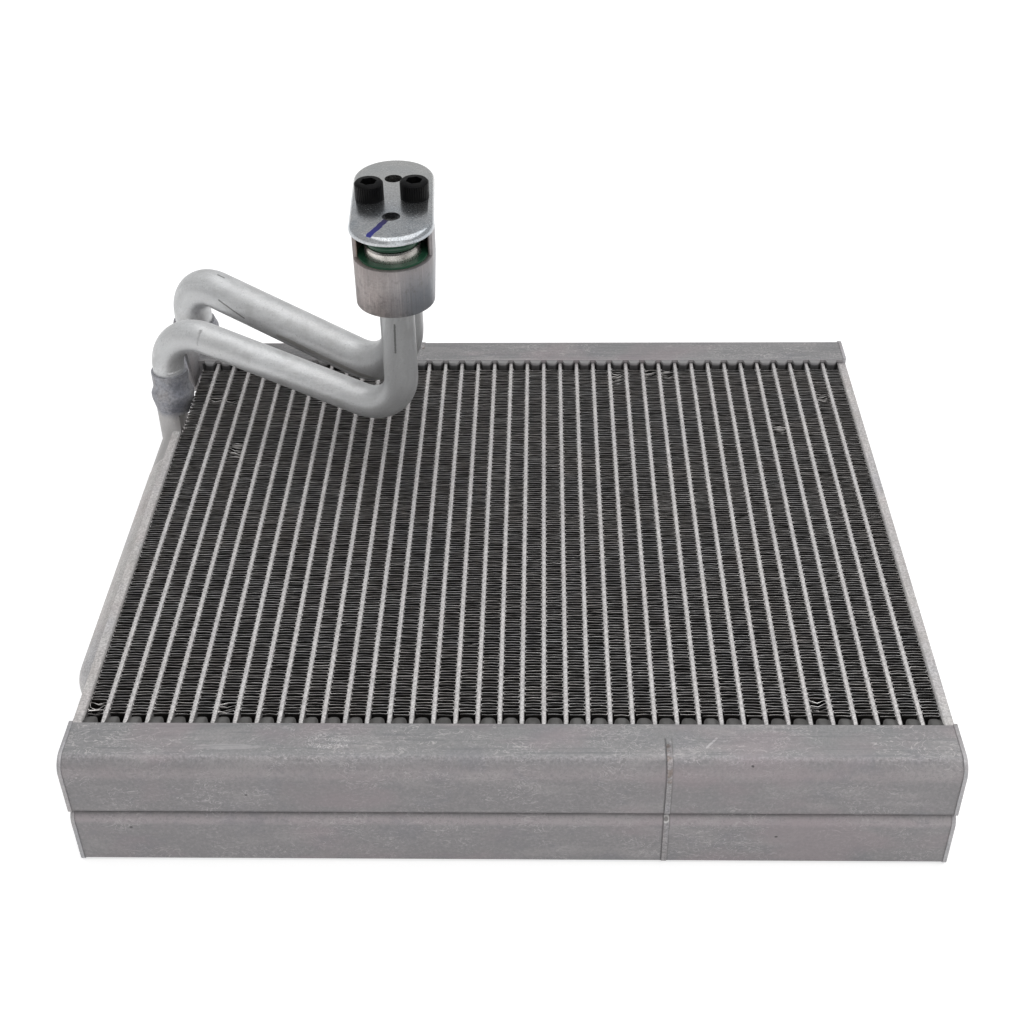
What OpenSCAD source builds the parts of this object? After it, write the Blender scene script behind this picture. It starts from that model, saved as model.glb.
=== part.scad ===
// Car air-conditioning evaporator core: two brazed tanks, flat tubes, folded fins, pipes and a two-port block.
// The core lies flat. X runs along the tanks, Y from the front tank to the rear tank, Z along the air flow.
// The origin is the centre of the footprint, at the height of the face that it rests on.

/* [Core] */
// Number of flat tubes in each row
tube_count = 38; // [20:1:48]
// Distance from one tube to the next
tube_pitch = 6.5; // [5.5:0.1:8]
// Thickness of a flat tube
tube_t = 1.4; // [1.1:0.1:2]
// Depth of one row of tubes along the air flow
tube_d = 18; // [14:0.1:20]
// Gap between the upper and the lower row of tubes
row_gap = 2.4; // [1.6:0.1:4]
// Length of the tubes that shows between the two headers
core_l = 196.5; // [120:0.1:260]
// Wall of a flat tube
tube_wall = 0.35; // [0.25:0.05:0.5]
// Distance from one fold of a fin to the next
fold_pitch = 2.33; // [1.16:0.01:4]
// Thickness of the fin sheet
fin_t = 0.16; // [0.08:0.01:0.3]
// How far the fins sit off the middle of the core, towards the rear tank
fin_shift = 0.8; // [0:0.1:2.5]

/* [Tanks] */
// Depth of a tank, from its outer face to its header
tank_d = 16.5; // [14:0.5:24]
// Wall of a tank
tank_wall = 1.5; // [1:0.1:1.6]
// Radius of a tank's outer upper shoulder
shoulder_r = 5; // [3:0.5:6.5]
// Radius of a tank's outer lower edge
foot_r = 1.8; // [1.8:0.1:5]
// Radius of the lower lobe's shoulder below the groove
groove_r = 4; // [2:0.1:5]
// Radius of the upper lobe's edge above the groove
groove_edge_r = 1.5; // [1:0.1:3]
// Height that a tank stands out past the tubes, above and below
tank_over = 1.8; // [1.7:0.1:4]
// Thickness of a header plate
header_t = 1.6; // [1.2:0.1:2]
// Height of the header's arches between the tubes
arch_h = 2; // [1:0.1:3]
// Thickness of an end cap
cap_t = 1.1; // [0.8:0.1:2.5]
// Lip of an end cap past the tank's wall
cap_lip = 0.35; // [0.1:0.05:0.8]
// Thickness of a baffle
baffle_t = 1.5; // [1:0.1:2]
// Place of the front baffle along the tank, as a number of tube gaps from the middle
front_baffle_gap = 7; // [-12:1:12]
// Place of the rear baffle along the tank, as a number of tube gaps from the middle
rear_baffle_gap = -6; // [-12:1:12]

/* [Side plates] */
// Sheet thickness of a side plate
side_t = 1.2; // [0.8:0.1:1.6]
// Width of a side plate's folded flange
flange_w = 3.2; // [2.6:0.1:3.6]
// Radius of the raised passage on the left side plate
passage_r = 12.5; // [9:0.5:15]
// Radius of the passage's narrow end towards the front tank
passage_neck_r = 5; // [4.5:0.5:7]
// Wall of the passage and of the two stubs
passage_wall = 1.4; // [1:0.1:1.6]
// Distance from the liquid stub's axis to the rear end of the wide part of the passage
passage_rear_gap = 34.3; // [30:0.1:50]
// Distance from the front tank to the front end of the wide part of the passage
passage_front_gap = 40; // [30:1:60]

/* [Pipes] */
// Outside diameter of the liquid pipe
liquid_od = 12; // [10:0.1:13]
// Outside diameter of the suction pipe
suction_od = 15; // [13:0.1:16]
// Wall of both pipes
pipe_wall = 1.3; // [1:0.1:1.8]
// Gap all round a piece that is brazed into another
fit_gap = 0.05; // [0.02:0.01:0.1]
// Distance from the side of the core to the axes of the stubs
stub_out = 6.8; // [6.7:0.1:9]
// Distance from the rear tank back to the liquid stub's axis
liquid_stub_in = 22.2; // [18:0.1:25]
// Distance from the rear tank's outer face out to the suction stub's axis
suction_stub_out = 9; // [8.9:0.1:17]
// Height above the tanks of the corner where the liquid pipe turns off its stub
liquid_turn_h = 31; // [28:0.5:42]
// Height above the tanks of the corner where the suction pipe turns off its stub
suction_turn_h = 24; // [23.5:0.5:42]
// Height above the tanks of the corner where the liquid pipe turns up to the block
liquid_low_h = 14.2; // [12:0.1:22]
// Height above the tanks of the corner where the suction pipe turns up to the block
suction_low_h = 7.4; // [7:0.1:18]
// Bend radius of the liquid pipe above its stub
liquid_bend_a = 17; // [13:0.5:20]
// Bend radius of the liquid pipe under the block
liquid_bend_b = 14.5; // [12:0.5:24]
// Bend radius of the suction pipe above its stub
suction_bend_a = 13.5; // [12:0.5:16]
// Bend radius of the suction pipe under the block
suction_bend_b = 20.5; // [16:0.5:28]
// Depth of a pipe's end in its cup
cup_depth = 7; // [4:0.5:9]
// Wall of a cup
cup_wall = 0.9; // [0.8:0.1:2]
// How far a cup's flare stands out past its wall
flare_w = 1.2; // [0.5:0.1:1.2]

/* [Port block] */
// Distance along X from the stubs' axes to the ports' axes
port_dx = 92.55; // [75:0.05:110]
// Distance along Y from the liquid stub's axis to the liquid port's axis
port_dy = 38.55; // [30:0.1:46]
// Distance between the two ports
port_gap = 34; // [33:0.5:40]
// Angle by which the block is turned off the line of the core
block_turn = 3; // [0:0.5:6]
// Radius of the block's ends
block_r = 13.4; // [12.7:0.1:15]
// Height of the block's underside above the tanks
block_up = 62; // [56:1:73]
// Height of the solid lower part of the block
block_h = 17.1; // [13:0.5:20]
// Height of the middle web above the pockets
web_h = 9.6; // [8.4:0.1:11]
// Radius of the two pockets
pocket_r = 11.9; // [11.4:0.1:12.4]
// Depth of a pipe's end in the block
socket_depth = 8; // [5:0.5:10]
// Outside radius of the collar of a spigot
collar_r = 9.4; // [8.8:0.1:9.6]
// Height of the collar of a spigot
collar_h = 4.3; // [3:0.1:5]
// Outside radius of the nose of a spigot, inside its O-ring
nose_r = 6.6; // [6.2:0.1:6.8]
// Radius of the section of an O-ring
o_ring_r = 1.25; // [0.8:0.05:1.4]
// Thickness of a face seal
seal_t = 0.8; // [0.5:0.1:1.2]

/* [Cover plate] */
// Thickness of the cover plate
plate_t = 2.6; // [2.5:0.1:3]
// Overhang of the cover plate past the block
plate_over = 0.8; // [0:0.1:1]
// Radius of the plate's pressed edge
plate_edge_r = 2.2; // [0.8:0.1:2.3]
// Radius of the two open holes in the plate
plate_hole_r = 3.05; // [2:0.05:3.2]
// Distance between the two open holes
plate_hole_gap = 29; // [26:0.5:31]
// Distance between the two screws
screw_gap = 15.3; // [14:0.1:16.5]
// Radius of a screw's shank
screw_r = 2.9; // [2.4:0.1:3]
// Radius of a screw's head
screw_head_r = 4.9; // [4.2:0.1:5.4]
// Height of a screw's head
screw_head_h = 6; // [5:0.1:8]
// Width across the flats of the hexagonal socket
screw_socket_af = 5; // [4:0.1:5.5]
// Length of a screw under its head
screw_l = 14; // [10:0.5:18]

/* [Hidden] */
$fn = 64;

eps = 0.02;
// Angle by which a pipe's bend laps into the straight run at each end
lap = 1;
core_t = 2 * tube_d + row_gap;
tank_h = core_t + 2 * tank_over;
mid_z = tank_h / 2;
lower_z = tank_over;
upper_z = tank_over + tube_d + row_gap;
tube_x0 = -(tube_count - 1) * tube_pitch / 2;
// Inner face of a side plate, where one more tube would begin
side_x = -tube_x0 + tube_pitch - tube_t / 2;
web_x = side_x + side_t;
tank_x = side_x + flange_w + 0.15;
body_x = tank_x - cap_t;
// From the middle outwards: tips of the header's arches, mouth of the tank, ends of the tubes, outer face
header_y = core_l / 2;
mouth_y = header_y + arch_h;
outer_y = mouth_y + tank_d;
tube_end_y = mouth_y + header_t + 2.5;
stub_x = -(web_x + stub_out);
liquid_stub_y = mouth_y - liquid_stub_in;
suction_stub_y = outer_y + suction_stub_out;
passage_y1 = liquid_stub_y - passage_rear_gap;
passage_y0 = passage_front_gap - mouth_y;
liquid_turn_z = tank_h + liquid_turn_h;
suction_turn_z = tank_h + suction_turn_h;
liquid_low_z = tank_h + liquid_low_h;
suction_low_z = tank_h + suction_low_h;
block_x = stub_x + port_dx;
liquid_port_y = liquid_stub_y - port_dy;
block_z = tank_h + block_up;
liquid_port_z = block_z + block_h;
suction_port_y = liquid_port_y + port_gap;
block_mid_y = liquid_port_y + port_gap / 2;
// Ports after the block's turn
port_shift = port_gap / 2 * sin(block_turn);
port_reach = port_gap / 2 * cos(block_turn);
plate_z = liquid_port_z + web_h;
// Radius of a tank's inner edges
lip_r = 0.5;
// The arches outside the mouth stay this far inside the tank's height
arch_in = 0.4;
fin_w = tube_pitch - tube_t - 2 * eps;
// Radius of a tube's outer corners
tube_corner = 0.4;
fin_end = 1.5;
fin_inset = 0.3;
fin_third = floor((tube_count + 1) / 3);
baffle_lip = 0.2;
baffle_cut = tank_d / 2;
baffle_u1 = tank_d - header_t - 3;
front_baffle_x = front_baffle_gap * tube_pitch;
rear_baffle_x = rear_baffle_gap * tube_pitch;
flange_z0 = tank_over;
flange_z1 = tank_h - tank_over;
// Side plate notch that clears the cup of the liquid stub
notch_y0 = liquid_stub_y - 25.5;
notch_z = flange_z1 - 7;
// The stubs' channels run level at these heights
liquid_neck_z = mid_z - 2;
suction_neck_z = mid_z + 9;
liquid_channel_r = liquid_od / 2 + cup_wall + 0.2;
suction_channel_r = suction_od / 2 + cup_wall + 0.2;
liquid_neck_x = -(web_x + 6.75);
liquid_neck_r = 7;
liquid_neck_end_y = passage_y1 + 6;
suction_neck_x = -(tank_x + 5);
suction_neck_r = 7;
suction_base_z = suction_neck_z - suction_neck_r - 0.8;
channel_flat = 2.5;
cup_z = flange_z1 + 0.4;
suction_cup_z = tank_h - 1;
// Tops of the two cups
cup_top = cup_z + 10.9;
suction_cup_top = suction_cup_z + 4.8;
cap_hole_y = outer_y - tank_d / 2;
front_hole_r = 3.2;
rear_hole_r = 4.5;
passage_neck_z = mid_z - 8.5;
passage_end_y = -(mouth_y + 6);
// Upright tab of the rear left cap
tab_y0 = liquid_stub_y + 7.2;
tab_w = 17;
tab_z = tank_h + 15;
// How far the pockets' side walls reach past the ports' axes
pocket_side = 2;

module corner_cut(r) {
    difference() {
        square(r + 1);
        translate([r, r]) circle(r);
        translate([r, -1]) square([3, r + 3]);
        translate([-1, r]) square([r + 3, 3]);
    }
}

// One lobe of a tank's section: u runs from the outer face inwards, v is the height
module lobe(u1, v0, v1, r0, r1) {
    difference() {
        translate([0, v0]) square([u1, v1 - v0]);
        translate([0, v0]) corner_cut(r0);
        translate([0, v1]) mirror([0, 1]) corner_cut(r1);
    }
}

module tank_outline(lip, u1) {
    translate([-lip, 0]) {
        lobe(u1 + lip, 0, mid_z, foot_r, groove_r);
        lobe(u1 + lip, mid_z, tank_h + lip, groove_edge_r, shoulder_r);
    }
}

// The two hollow chambers of a tank, drawn e smaller all round
module chambers(e, u1) {
    w = tank_wall + e;
    translate([w, 0]) {
        lobe(u1 - w, w, mid_z - w / 2 - e / 2, foot_r - w, groove_r - w / 2);
        lobe(u1 - w, mid_z + w / 2 + e / 2, tank_h - w, groove_edge_r - w / 2, shoulder_r - w);
    }
}

module tank_section() {
    difference() {
        tank_outline(0, tank_d);
        chambers(0, tank_d + 1);
        translate([tank_d - header_t - eps, tank_wall + 1]) square([tank_d, tank_h - 2 * tank_wall - 2]);
        translate([tank_d, 0]) mirror([1, 0]) corner_cut(lip_r);
        translate([tank_d, tank_h]) mirror([1, 0]) mirror([0, 1]) corner_cut(lip_r);
    }
}

// Runs a section drawn in (u, v) along the front tank, from x0 to x1
module along_front(x0, x1) {
    translate([x0, -outer_y, 0]) rotate([90, 0, 90]) linear_extrude(x1 - x0) children();
}

module tank(baffle_x) {
    difference() {
        along_front(-body_x, body_x) tank_section();
        along_front(baffle_x - baffle_t / 2 - eps, baffle_x + baffle_t / 2 + eps)
            translate([-1, -1]) square([baffle_cut + 1, tank_h + 2]);
    }
}

// A baffle is pushed in from outside, so its edge shows on the outer face
module baffle(x) {
    along_front(x - baffle_t / 2, x + baffle_t / 2) {
        intersection() {
            tank_outline(baffle_lip, tank_d);
            translate([-1, -1]) square([baffle_cut + 1 - eps, tank_h + 3]);
        }
        chambers(eps, baffle_u1);
    }
}

module tank_cap(x0) {
    along_front(x0, x0 + cap_t) tank_outline(cap_lip, tank_d);
}

// Section that rounds off the upper and lower ends of the header's arches, drawn in (y, z)
module arch_ends(z0, h) {
    r = arch_h + 0.15;
    translate([0.3 - header_y, 0]) difference() {
        translate([-arch_h - 0.6, z0]) square([arch_h + 0.6, h]);
        translate([0, z0]) mirror([1, 0]) corner_cut(r);
        translate([0, z0 + h]) mirror([1, 0]) mirror([0, 1]) corner_cut(r);
    }
}

// Arches of the front header from y0 to their tips, standing from z0 to z0 + h
module arches(y0, z0, h) {
    arch_c = tube_pitch - tube_t - 0.6;
    arch_r = (arch_c * arch_c / 4 + arch_h * arch_h) / (2 * arch_h);
    intersection() {
        translate([0, 0, z0]) linear_extrude(h) intersection() {
            translate([-body_x + eps, y0]) square([2 * (body_x - eps), 0.1 - header_y - y0]);
            for (i = [0:tube_count])
                translate([tube_x0 + (i - 0.5) * tube_pitch, -header_y - arch_r]) circle(arch_r);
        }
        translate([-tank_x, 0, 0]) rotate([90, 0, 90]) linear_extrude(2 * tank_x) arch_ends(z0, h);
    }
}

module header() {
    z0 = tank_wall + fit_gap;
    h = tank_h - 2 * z0;
    difference() {
        union() {
            translate([-body_x + eps, -mouth_y - header_t, z0]) cube([2 * (body_x - eps), header_t, h]);
            arches(-mouth_y - 0.2, z0, h);
            arches(-mouth_y + eps, arch_in, tank_h - 2 * arch_in);
        }
        for (i = [0:tube_count - 1], z = [lower_z, upper_z])
            translate([tube_x0 + i * tube_pitch - tube_t / 2 - eps, -mouth_y - header_t - 1, z - eps])
                cube([tube_t + 2 * eps, header_t + arch_h + 2, tube_d + 2 * eps]);
    }
}

// A tube's outline, nearly flat on its narrow sides
module tube_outline(w, h) {
    translate([-w / 2, 0]) difference() {
        square([w, h]);
        for (z = [0, 1]) translate([0, z * h]) mirror([0, z]) {
            corner_cut(tube_corner);
            translate([w, 0]) mirror([1, 0]) corner_cut(tube_corner);
        }
    }
}

module rounded_bar(w, h) {
    translate([-w / 2, w / 2]) square([w, h - w]);
    translate([0, w / 2]) circle(w / 2);
    translate([0, h - w / 2]) circle(w / 2);
}

// A folded flat tube with two channels side by side
module tube_row(z) {
    port_w = tube_t - 2 * tube_wall;
    port_h = (tube_d - 3 * tube_wall) / 2;
    for (i = [0:tube_count - 1])
        translate([tube_x0 + i * tube_pitch, tube_end_y, z]) rotate([90, 0, 0])
            linear_extrude(2 * tube_end_y) difference() {
                tube_outline(tube_t, tube_d);
                translate([0, tube_wall]) rounded_bar(port_w, port_h);
                translate([0, 2 * tube_wall + port_h]) rounded_bar(port_w, port_h);
            }
}

// One folded fin fills the space between two neighbouring tubes
module fin_strips(first, last) {
    fold_n = floor((core_l - 2 * fin_end) / fold_pitch);
    y0 = fin_shift - fold_n * fold_pitch / 2;
    tip = fin_t * fin_w / fold_pitch;
    outline = concat(
        [for (i = [0:fold_n]) [i % 2 == 1 ? fin_w : tip, y0 + i * fold_pitch]],
        [for (i = [fold_n:-1:0]) [i % 2 == 1 ? fin_w - tip : 0, y0 + i * fold_pitch]]);
    for (k = [first:last])
        translate([tube_x0 + (k - 1) * tube_pitch + tube_t / 2 + eps, 0, tank_over + fin_inset])
            linear_extrude(core_t - 2 * fin_inset) polygon(outline);
}

// A side plate is a channel with both flanges folded outwards
module side_plate() {
    translate([side_x, -mouth_y + eps, flange_z0])
        cube([side_t, 2 * (mouth_y - eps), core_t]);
    for (z = [flange_z0, flange_z1 - side_t])
        translate([side_x, -mouth_y + 0.1, z]) cube([flange_w, 2 * mouth_y - 0.2, side_t]);
}

// A tube lying along Y with a ball at each end
module capsule(x, y0, y1, z, r) {
    translate([x, y0, z]) rotate([-90, 0, 0]) cylinder(r = r, h = y1 - y0);
    for (y = [y0, y1]) translate([x, y, z]) sphere(r);
}

module passage_form(r_cut) {
    capsule(-web_x, passage_y0, passage_y1, mid_z, passage_r - r_cut);
    capsule(-web_x, passage_end_y, passage_y0, passage_neck_z, passage_neck_r - r_cut);
}

// The raised passage that leads along the left side plate to the front tank
module raised_passage() {
    difference() {
        passage_form(0);
        passage_form(passage_wall);
        translate([-web_x - eps, -mouth_y, -1]) cube([40, 2 * mouth_y, tank_h + 2]);
        translate([-tank_x - eps, -outer_y - 5, -1]) cube([40, outer_y + 5.1 - mouth_y, tank_h + 2]);
        translate([liquid_neck_x, passage_y1, liquid_neck_z]) rotate([-90, 0, 0])
            cylinder(r = liquid_neck_r + fit_gap, h = 40);
    }
}

// A cup: a band round the pipe's end over a flared skirt that narrows to the channel below
module cup(r_pipe, r_channel, z, top) {
    r_band = r_pipe + cup_wall;
    r_flare = r_band + flare_w;
    rotate_extrude() polygon([
        [0, z - 6], [r_channel, z - 6], [r_channel, z - 5], [r_flare, z], [r_flare, z + 1.6],
        [r_band, z + 4.5], [r_band, top], [0, top]]);
}

module socket(r_pipe, top) {
    translate([0, 0, top - cup_depth]) cylinder(r = r_pipe + fit_gap, h = cup_depth + 1);
}

// Liquid stub: cup, flat-backed channel down the side of the core, and a level neck into the passage
module stub_liquid() {
    r = liquid_od / 2;
    r_in = liquid_channel_r - passage_wall;
    difference() {
        union() {
            translate([stub_x, liquid_stub_y, 0]) {
                cup(r, liquid_channel_r, cup_z, cup_top);
                intersection() {
                    translate([0, 0, liquid_neck_z])
                        cylinder(r = liquid_channel_r, h = cup_z - 5.5 - liquid_neck_z);
                    translate([-20, -20, 0]) cube([20 + channel_flat, 40, tank_h]);
                }
            }
            capsule(liquid_neck_x, liquid_neck_end_y, liquid_stub_y, liquid_neck_z, liquid_neck_r);
        }
        translate([stub_x, liquid_stub_y, 0]) {
            socket(r, cup_top);
            intersection() {
                translate([0, 0, liquid_neck_z]) cylinder(r = r_in, h = cup_z + 2 - liquid_neck_z);
                translate([-20, -20, 0]) cube([20 + channel_flat - passage_wall, 40, tank_h + 10]);
            }
        }
        translate([liquid_neck_x, liquid_neck_end_y - 20, liquid_neck_z]) rotate([-90, 0, 0])
            cylinder(r = liquid_neck_r - passage_wall, h = liquid_stub_y + 20 - liquid_neck_end_y);
        translate([liquid_neck_x - 20, liquid_neck_end_y - 20, 0]) cube([40, 20, tank_h]);
        translate([-web_x - eps, 0, -1]) cube([40, outer_y, liquid_neck_z + 10]);
    }
}

// Suction stub: cup, round channel and a level neck that opens into the rear tank's left cap
module stub_suction() {
    r = suction_od / 2;
    r_in = suction_channel_r - passage_wall;
    difference() {
        union() {
            translate([stub_x, suction_stub_y, 0]) {
                cup(r, suction_channel_r, suction_cup_z, suction_cup_top);
                translate([0, 0, suction_base_z])
                    cylinder(r = suction_channel_r, h = suction_cup_z - 5.5 - suction_base_z);
            }
            capsule(suction_neck_x, cap_hole_y, suction_stub_y, suction_neck_z, suction_neck_r);
        }
        translate([stub_x, suction_stub_y, 0]) {
            socket(r, suction_cup_top);
            translate([0, 0, suction_neck_z]) cylinder(r = r_in, h = suction_cup_z + 2 - suction_neck_z);
        }
        translate([suction_neck_x, cap_hole_y, suction_neck_z]) rotate([-90, 0, 0])
            cylinder(r = suction_neck_r - passage_wall, h = suction_stub_y - cap_hole_y);
        translate([-tank_x - eps, 0, -1]) cube([40, outer_y + 2 * cap_lip, tank_h + 1]);
    }
}

module ring(r, wall) {
    difference() {
        circle(r);
        circle(r - wall);
    }
}

// A round rod bent in the upright plane: up, over, down a slope and up again; ext lengthens both its ends.
// The bends are a hair thinner and lap into the straight runs.
module bent_rod(r, ext, z0, turn_z, bend_a, run, low_z, bend_b, z1) {
    slope = atan((low_z - turn_z) / run);
    turn = 90 - slope;
    ta = bend_a * tan(turn / 2);
    tb = bend_b * tan(turn / 2);
    translate([0, 0, z0 - ext]) cylinder(r = r, h = turn_z - ta - z0 + ext);
    translate([bend_a, 0, turn_z - ta]) rotate([90, 0, 0]) rotate([0, 0, 180 - turn - lap])
        rotate_extrude(angle = turn + 2 * lap) translate([bend_a, 0]) circle(r - eps);
    translate([ta * cos(slope), 0, turn_z + ta * sin(slope)]) rotate([0, turn, 0])
        cylinder(r = r, h = run / cos(slope) - ta - tb);
    translate([run - bend_b, 0, low_z + tb]) rotate([90, 0, 0]) rotate([0, 0, -turn - lap])
        rotate_extrude(angle = turn + 2 * lap) translate([bend_b, 0]) circle(r - eps);
    translate([run, 0, low_z + tb]) cylinder(r = r, h = z1 - low_z - tb + ext);
}

// A bent pipe from a stub at y0 to a port at (x1, y1)
module bent_pipe(y0, z0, turn_z, bend_a, x1, y1, low_z, bend_b, z1, od) {
    dx = x1 - stub_x;
    run = norm([dx, y1 - y0]);
    translate([stub_x, y0, 0]) rotate([0, 0, atan2(y1 - y0, dx)]) difference() {
        bent_rod(od / 2, 0, z0, turn_z, bend_a, run, low_z, bend_b, z1);
        bent_rod(od / 2 - pipe_wall, 1, z0, turn_z, bend_a, run, low_z, bend_b, z1);
    }
}

// Turns the block and everything on it about the block's middle
module on_block() {
    translate([block_x, block_mid_y, 0]) rotate([0, 0, block_turn])
        translate([-block_x, -block_mid_y, 0]) children();
}

module oblong(r) {
    translate([block_x - r, liquid_port_y]) square([2 * r, port_gap]);
    for (y = [liquid_port_y, suction_port_y]) translate([block_x, y]) circle(r);
}

module at_ports() {
    for (y = [liquid_port_y, suction_port_y]) translate([block_x, y, 0]) children();
}

module screw_places() {
    for (s = [-1, 1]) translate([block_x + s * screw_gap / 2, block_mid_y, 0]) children();
}

// The block is an oblong bar with its two ends milled down to round pockets
module block() {
    difference() {
        translate([0, 0, block_z]) linear_extrude(block_h + web_h) oblong(block_r);
        translate([0, 0, liquid_port_z]) {
            at_ports() cylinder(r = pocket_r, h = web_h + 1);
            translate([block_x - 20, liquid_port_y - 30, 0]) cube([40, 30 - pocket_side, web_h + 1]);
            translate([block_x - 20, suction_port_y + pocket_side, 0]) cube([40, 30, web_h + 1]);
        }
        translate([block_x, liquid_port_y, block_z - 1])
            cylinder(r = liquid_od / 2 + fit_gap, h = block_h + 2);
        translate([block_x, suction_port_y, block_z - 1])
            cylinder(r = suction_od / 2 + fit_gap, h = block_h + 2);
        translate([0, 0, plate_z + plate_t - screw_l - 1]) screw_places()
            cylinder(r = screw_r + fit_gap, h = screw_l + 2);
    }
}

// A turned spigot: shank in the block, collar on the pocket floor, nose for the O-ring
module spigot(y, od) {
    bore_r = min(od / 2 - pipe_wall, nose_r - 1.1);
    z0 = block_z + socket_depth + eps;
    z1 = liquid_port_z + collar_h;
    translate([block_x, y, 0]) rotate_extrude() polygon([
        [bore_r, z0], [od / 2, z0], [od / 2, liquid_port_z], [collar_r, liquid_port_z],
        [collar_r, z1 - 0.5], [collar_r - 0.5, z1], [nose_r, z1],
        [nose_r, plate_z - 0.6], [nose_r - 0.5, plate_z - 0.3], [bore_r, plate_z - 0.3]]);
}

module o_ring(y) {
    translate([block_x, y, liquid_port_z + collar_h + o_ring_r + eps]) rotate_extrude()
        translate([nose_r + o_ring_r + eps, 0]) circle(o_ring_r);
}

module face_seal(y) {
    translate([block_x, y, liquid_port_z]) linear_extrude(seal_t)
        ring(pocket_r - 0.1, pocket_r - 0.2 - collar_r);
}

// Half of the plate's cross-section, with its upper edge pressed round
module plate_half_section() {
    r = block_r + plate_over;
    square([r - plate_edge_r, plate_t]);
    square([r, plate_t - plate_edge_r]);
    translate([r - plate_edge_r, plate_t - plate_edge_r]) circle(plate_edge_r);
}

module plate() {
    difference() {
        translate([0, 0, plate_z]) intersection() {
            union() {
                at_ports() rotate_extrude() intersection() {
                    plate_half_section();
                    square([30, 10]);
                }
                for (s = [0, 1]) translate([block_x, suction_port_y, 0]) mirror([s, 0, 0])
                    rotate([90, 0, 0]) linear_extrude(port_gap) intersection() {
                        plate_half_section();
                        square([30, 10]);
                    }
            }
            translate([block_x - 30, liquid_port_y - 30, 0]) cube([60, port_gap + 60, plate_t]);
        }
        translate([0, 0, plate_z - 1]) screw_places() cylinder(r = screw_r + 0.25, h = plate_t + 2);
        for (s = [-1, 1])
            translate([block_x, block_mid_y + s * plate_hole_gap / 2, plate_z - 1])
                cylinder(r = plate_hole_r, h = plate_t + 2);
    }
}

module screws() {
    z = plate_z + plate_t;
    screw_places() difference() {
        union() {
            translate([0, 0, z - screw_l]) cylinder(r = screw_r, h = screw_l + 1);
            translate([0, 0, z]) rotate_extrude() polygon([
                [0, 0], [screw_head_r, 0], [screw_head_r, screw_head_h - 0.6],
                [screw_head_r - 0.6, screw_head_h], [0, screw_head_h]]);
        }
        translate([0, 0, z + screw_head_h / 2]) rotate([0, 0, 15])
            cylinder(r = screw_socket_af / 2 / cos(30), h = screw_head_h, $fn = 6);
    }
}

module front_tank() { color("darkgray") tank(front_baffle_x); }
module front_header() { color("gray") header(); }
module front_left_cap() {
    color("silver") difference() {
        tank_cap(-tank_x);
        translate([-tank_x - 1, passage_end_y, passage_neck_z]) rotate([0, 90, 0])
            cylinder(r = front_hole_r, h = cap_t + 2);
    }
}
module front_right_cap() { color("silver") tank_cap(body_x); }
module front_baffle() { color("silver") baffle(front_baffle_x); }

module rear_tank() { color("darkgray") mirror([0, 1, 0]) tank(rear_baffle_x); }
module rear_header() { color("gray") mirror([0, 1, 0]) header(); }
// The rear left cap carries an upright tab between the two stubs
module rear_left_cap() {
    color("silver") difference() {
        union() {
            mirror([0, 1, 0]) tank_cap(-tank_x);
            translate([-tank_x, 0, 0]) rotate([90, 0, 90]) linear_extrude(cap_t)
                polygon([[mouth_y + 3, notch_z + 2], [tab_y0 + 5.2, notch_z + 2.5],
                         [tab_y0 + 4.6, flange_z1],
                         [tab_y0, tab_z - 1.5], [tab_y0 + 1.5, tab_z], [tab_y0 + tab_w - 3, tab_z],
                         [tab_y0 + tab_w, tab_z - 3], [tab_y0 + tab_w, flange_z1 + 0.5],
                         [mouth_y + 3, flange_z1 + 0.5]]);
        }
        translate([-tank_x - 1, cap_hole_y, suction_neck_z]) rotate([0, 90, 0])
            cylinder(r = rear_hole_r, h = cap_t + 2);
    }
}
module rear_right_cap() { color("silver") mirror([0, 1, 0]) tank_cap(body_x); }
module rear_baffle() { color("silver") mirror([0, 1, 0]) baffle(rear_baffle_x); }

module upper_tubes() { color("gainsboro") tube_row(upper_z); }
module lower_tubes() { color("gainsboro") tube_row(lower_z); }
module left_fins() { color("dimgray") fin_strips(0, fin_third - 1); }
module middle_fins() { color("dimgray") fin_strips(fin_third, 2 * fin_third - 1); }
module right_fins() { color("dimgray") fin_strips(2 * fin_third, tube_count); }

module left_side_plate() {
    color("lightgray") difference() {
        mirror([1, 0, 0]) side_plate();
        translate([-side_x - flange_w - 1, notch_y0, notch_z]) cube([flange_w + 2, 60, core_t]);
    }
}
module right_side_plate() { color("lightgray") side_plate(); }
module side_passage() { color("silver") raised_passage(); }
module liquid_stub() { color("lightslategray") stub_liquid(); }
module suction_stub() { color("lightslategray") stub_suction(); }

module liquid_pipe() {
    color("lightgray") bent_pipe(liquid_stub_y, cup_top - cup_depth + eps, liquid_turn_z, liquid_bend_a,
                                 block_x + port_shift, block_mid_y - port_reach,
                                 liquid_low_z, liquid_bend_b, block_z + socket_depth, liquid_od);
}
module suction_pipe() {
    color("lightgray") bent_pipe(suction_stub_y, suction_cup_top - cup_depth + eps, suction_turn_z,
                                 suction_bend_a, block_x - port_shift, block_mid_y + port_reach,
                                 suction_low_z, suction_bend_b, block_z + socket_depth, suction_od);
}
module port_block() { color("rosybrown") on_block() block(); }
module liquid_spigot() { color("silver") on_block() spigot(liquid_port_y, liquid_od); }
module suction_spigot() { color("silver") on_block() spigot(suction_port_y, suction_od); }
module liquid_o_ring() { color("darkgreen") on_block() o_ring(liquid_port_y); }
module suction_o_ring() { color("darkgreen") on_block() o_ring(suction_port_y); }
module liquid_face_seal() { color("darkgreen") on_block() face_seal(liquid_port_y); }
module suction_face_seal() { color("darkgreen") on_block() face_seal(suction_port_y); }
module cover_plate() { color("lightsteelblue") on_block() plate(); }
module cover_screws() { color("black") on_block() screws(); }

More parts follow.
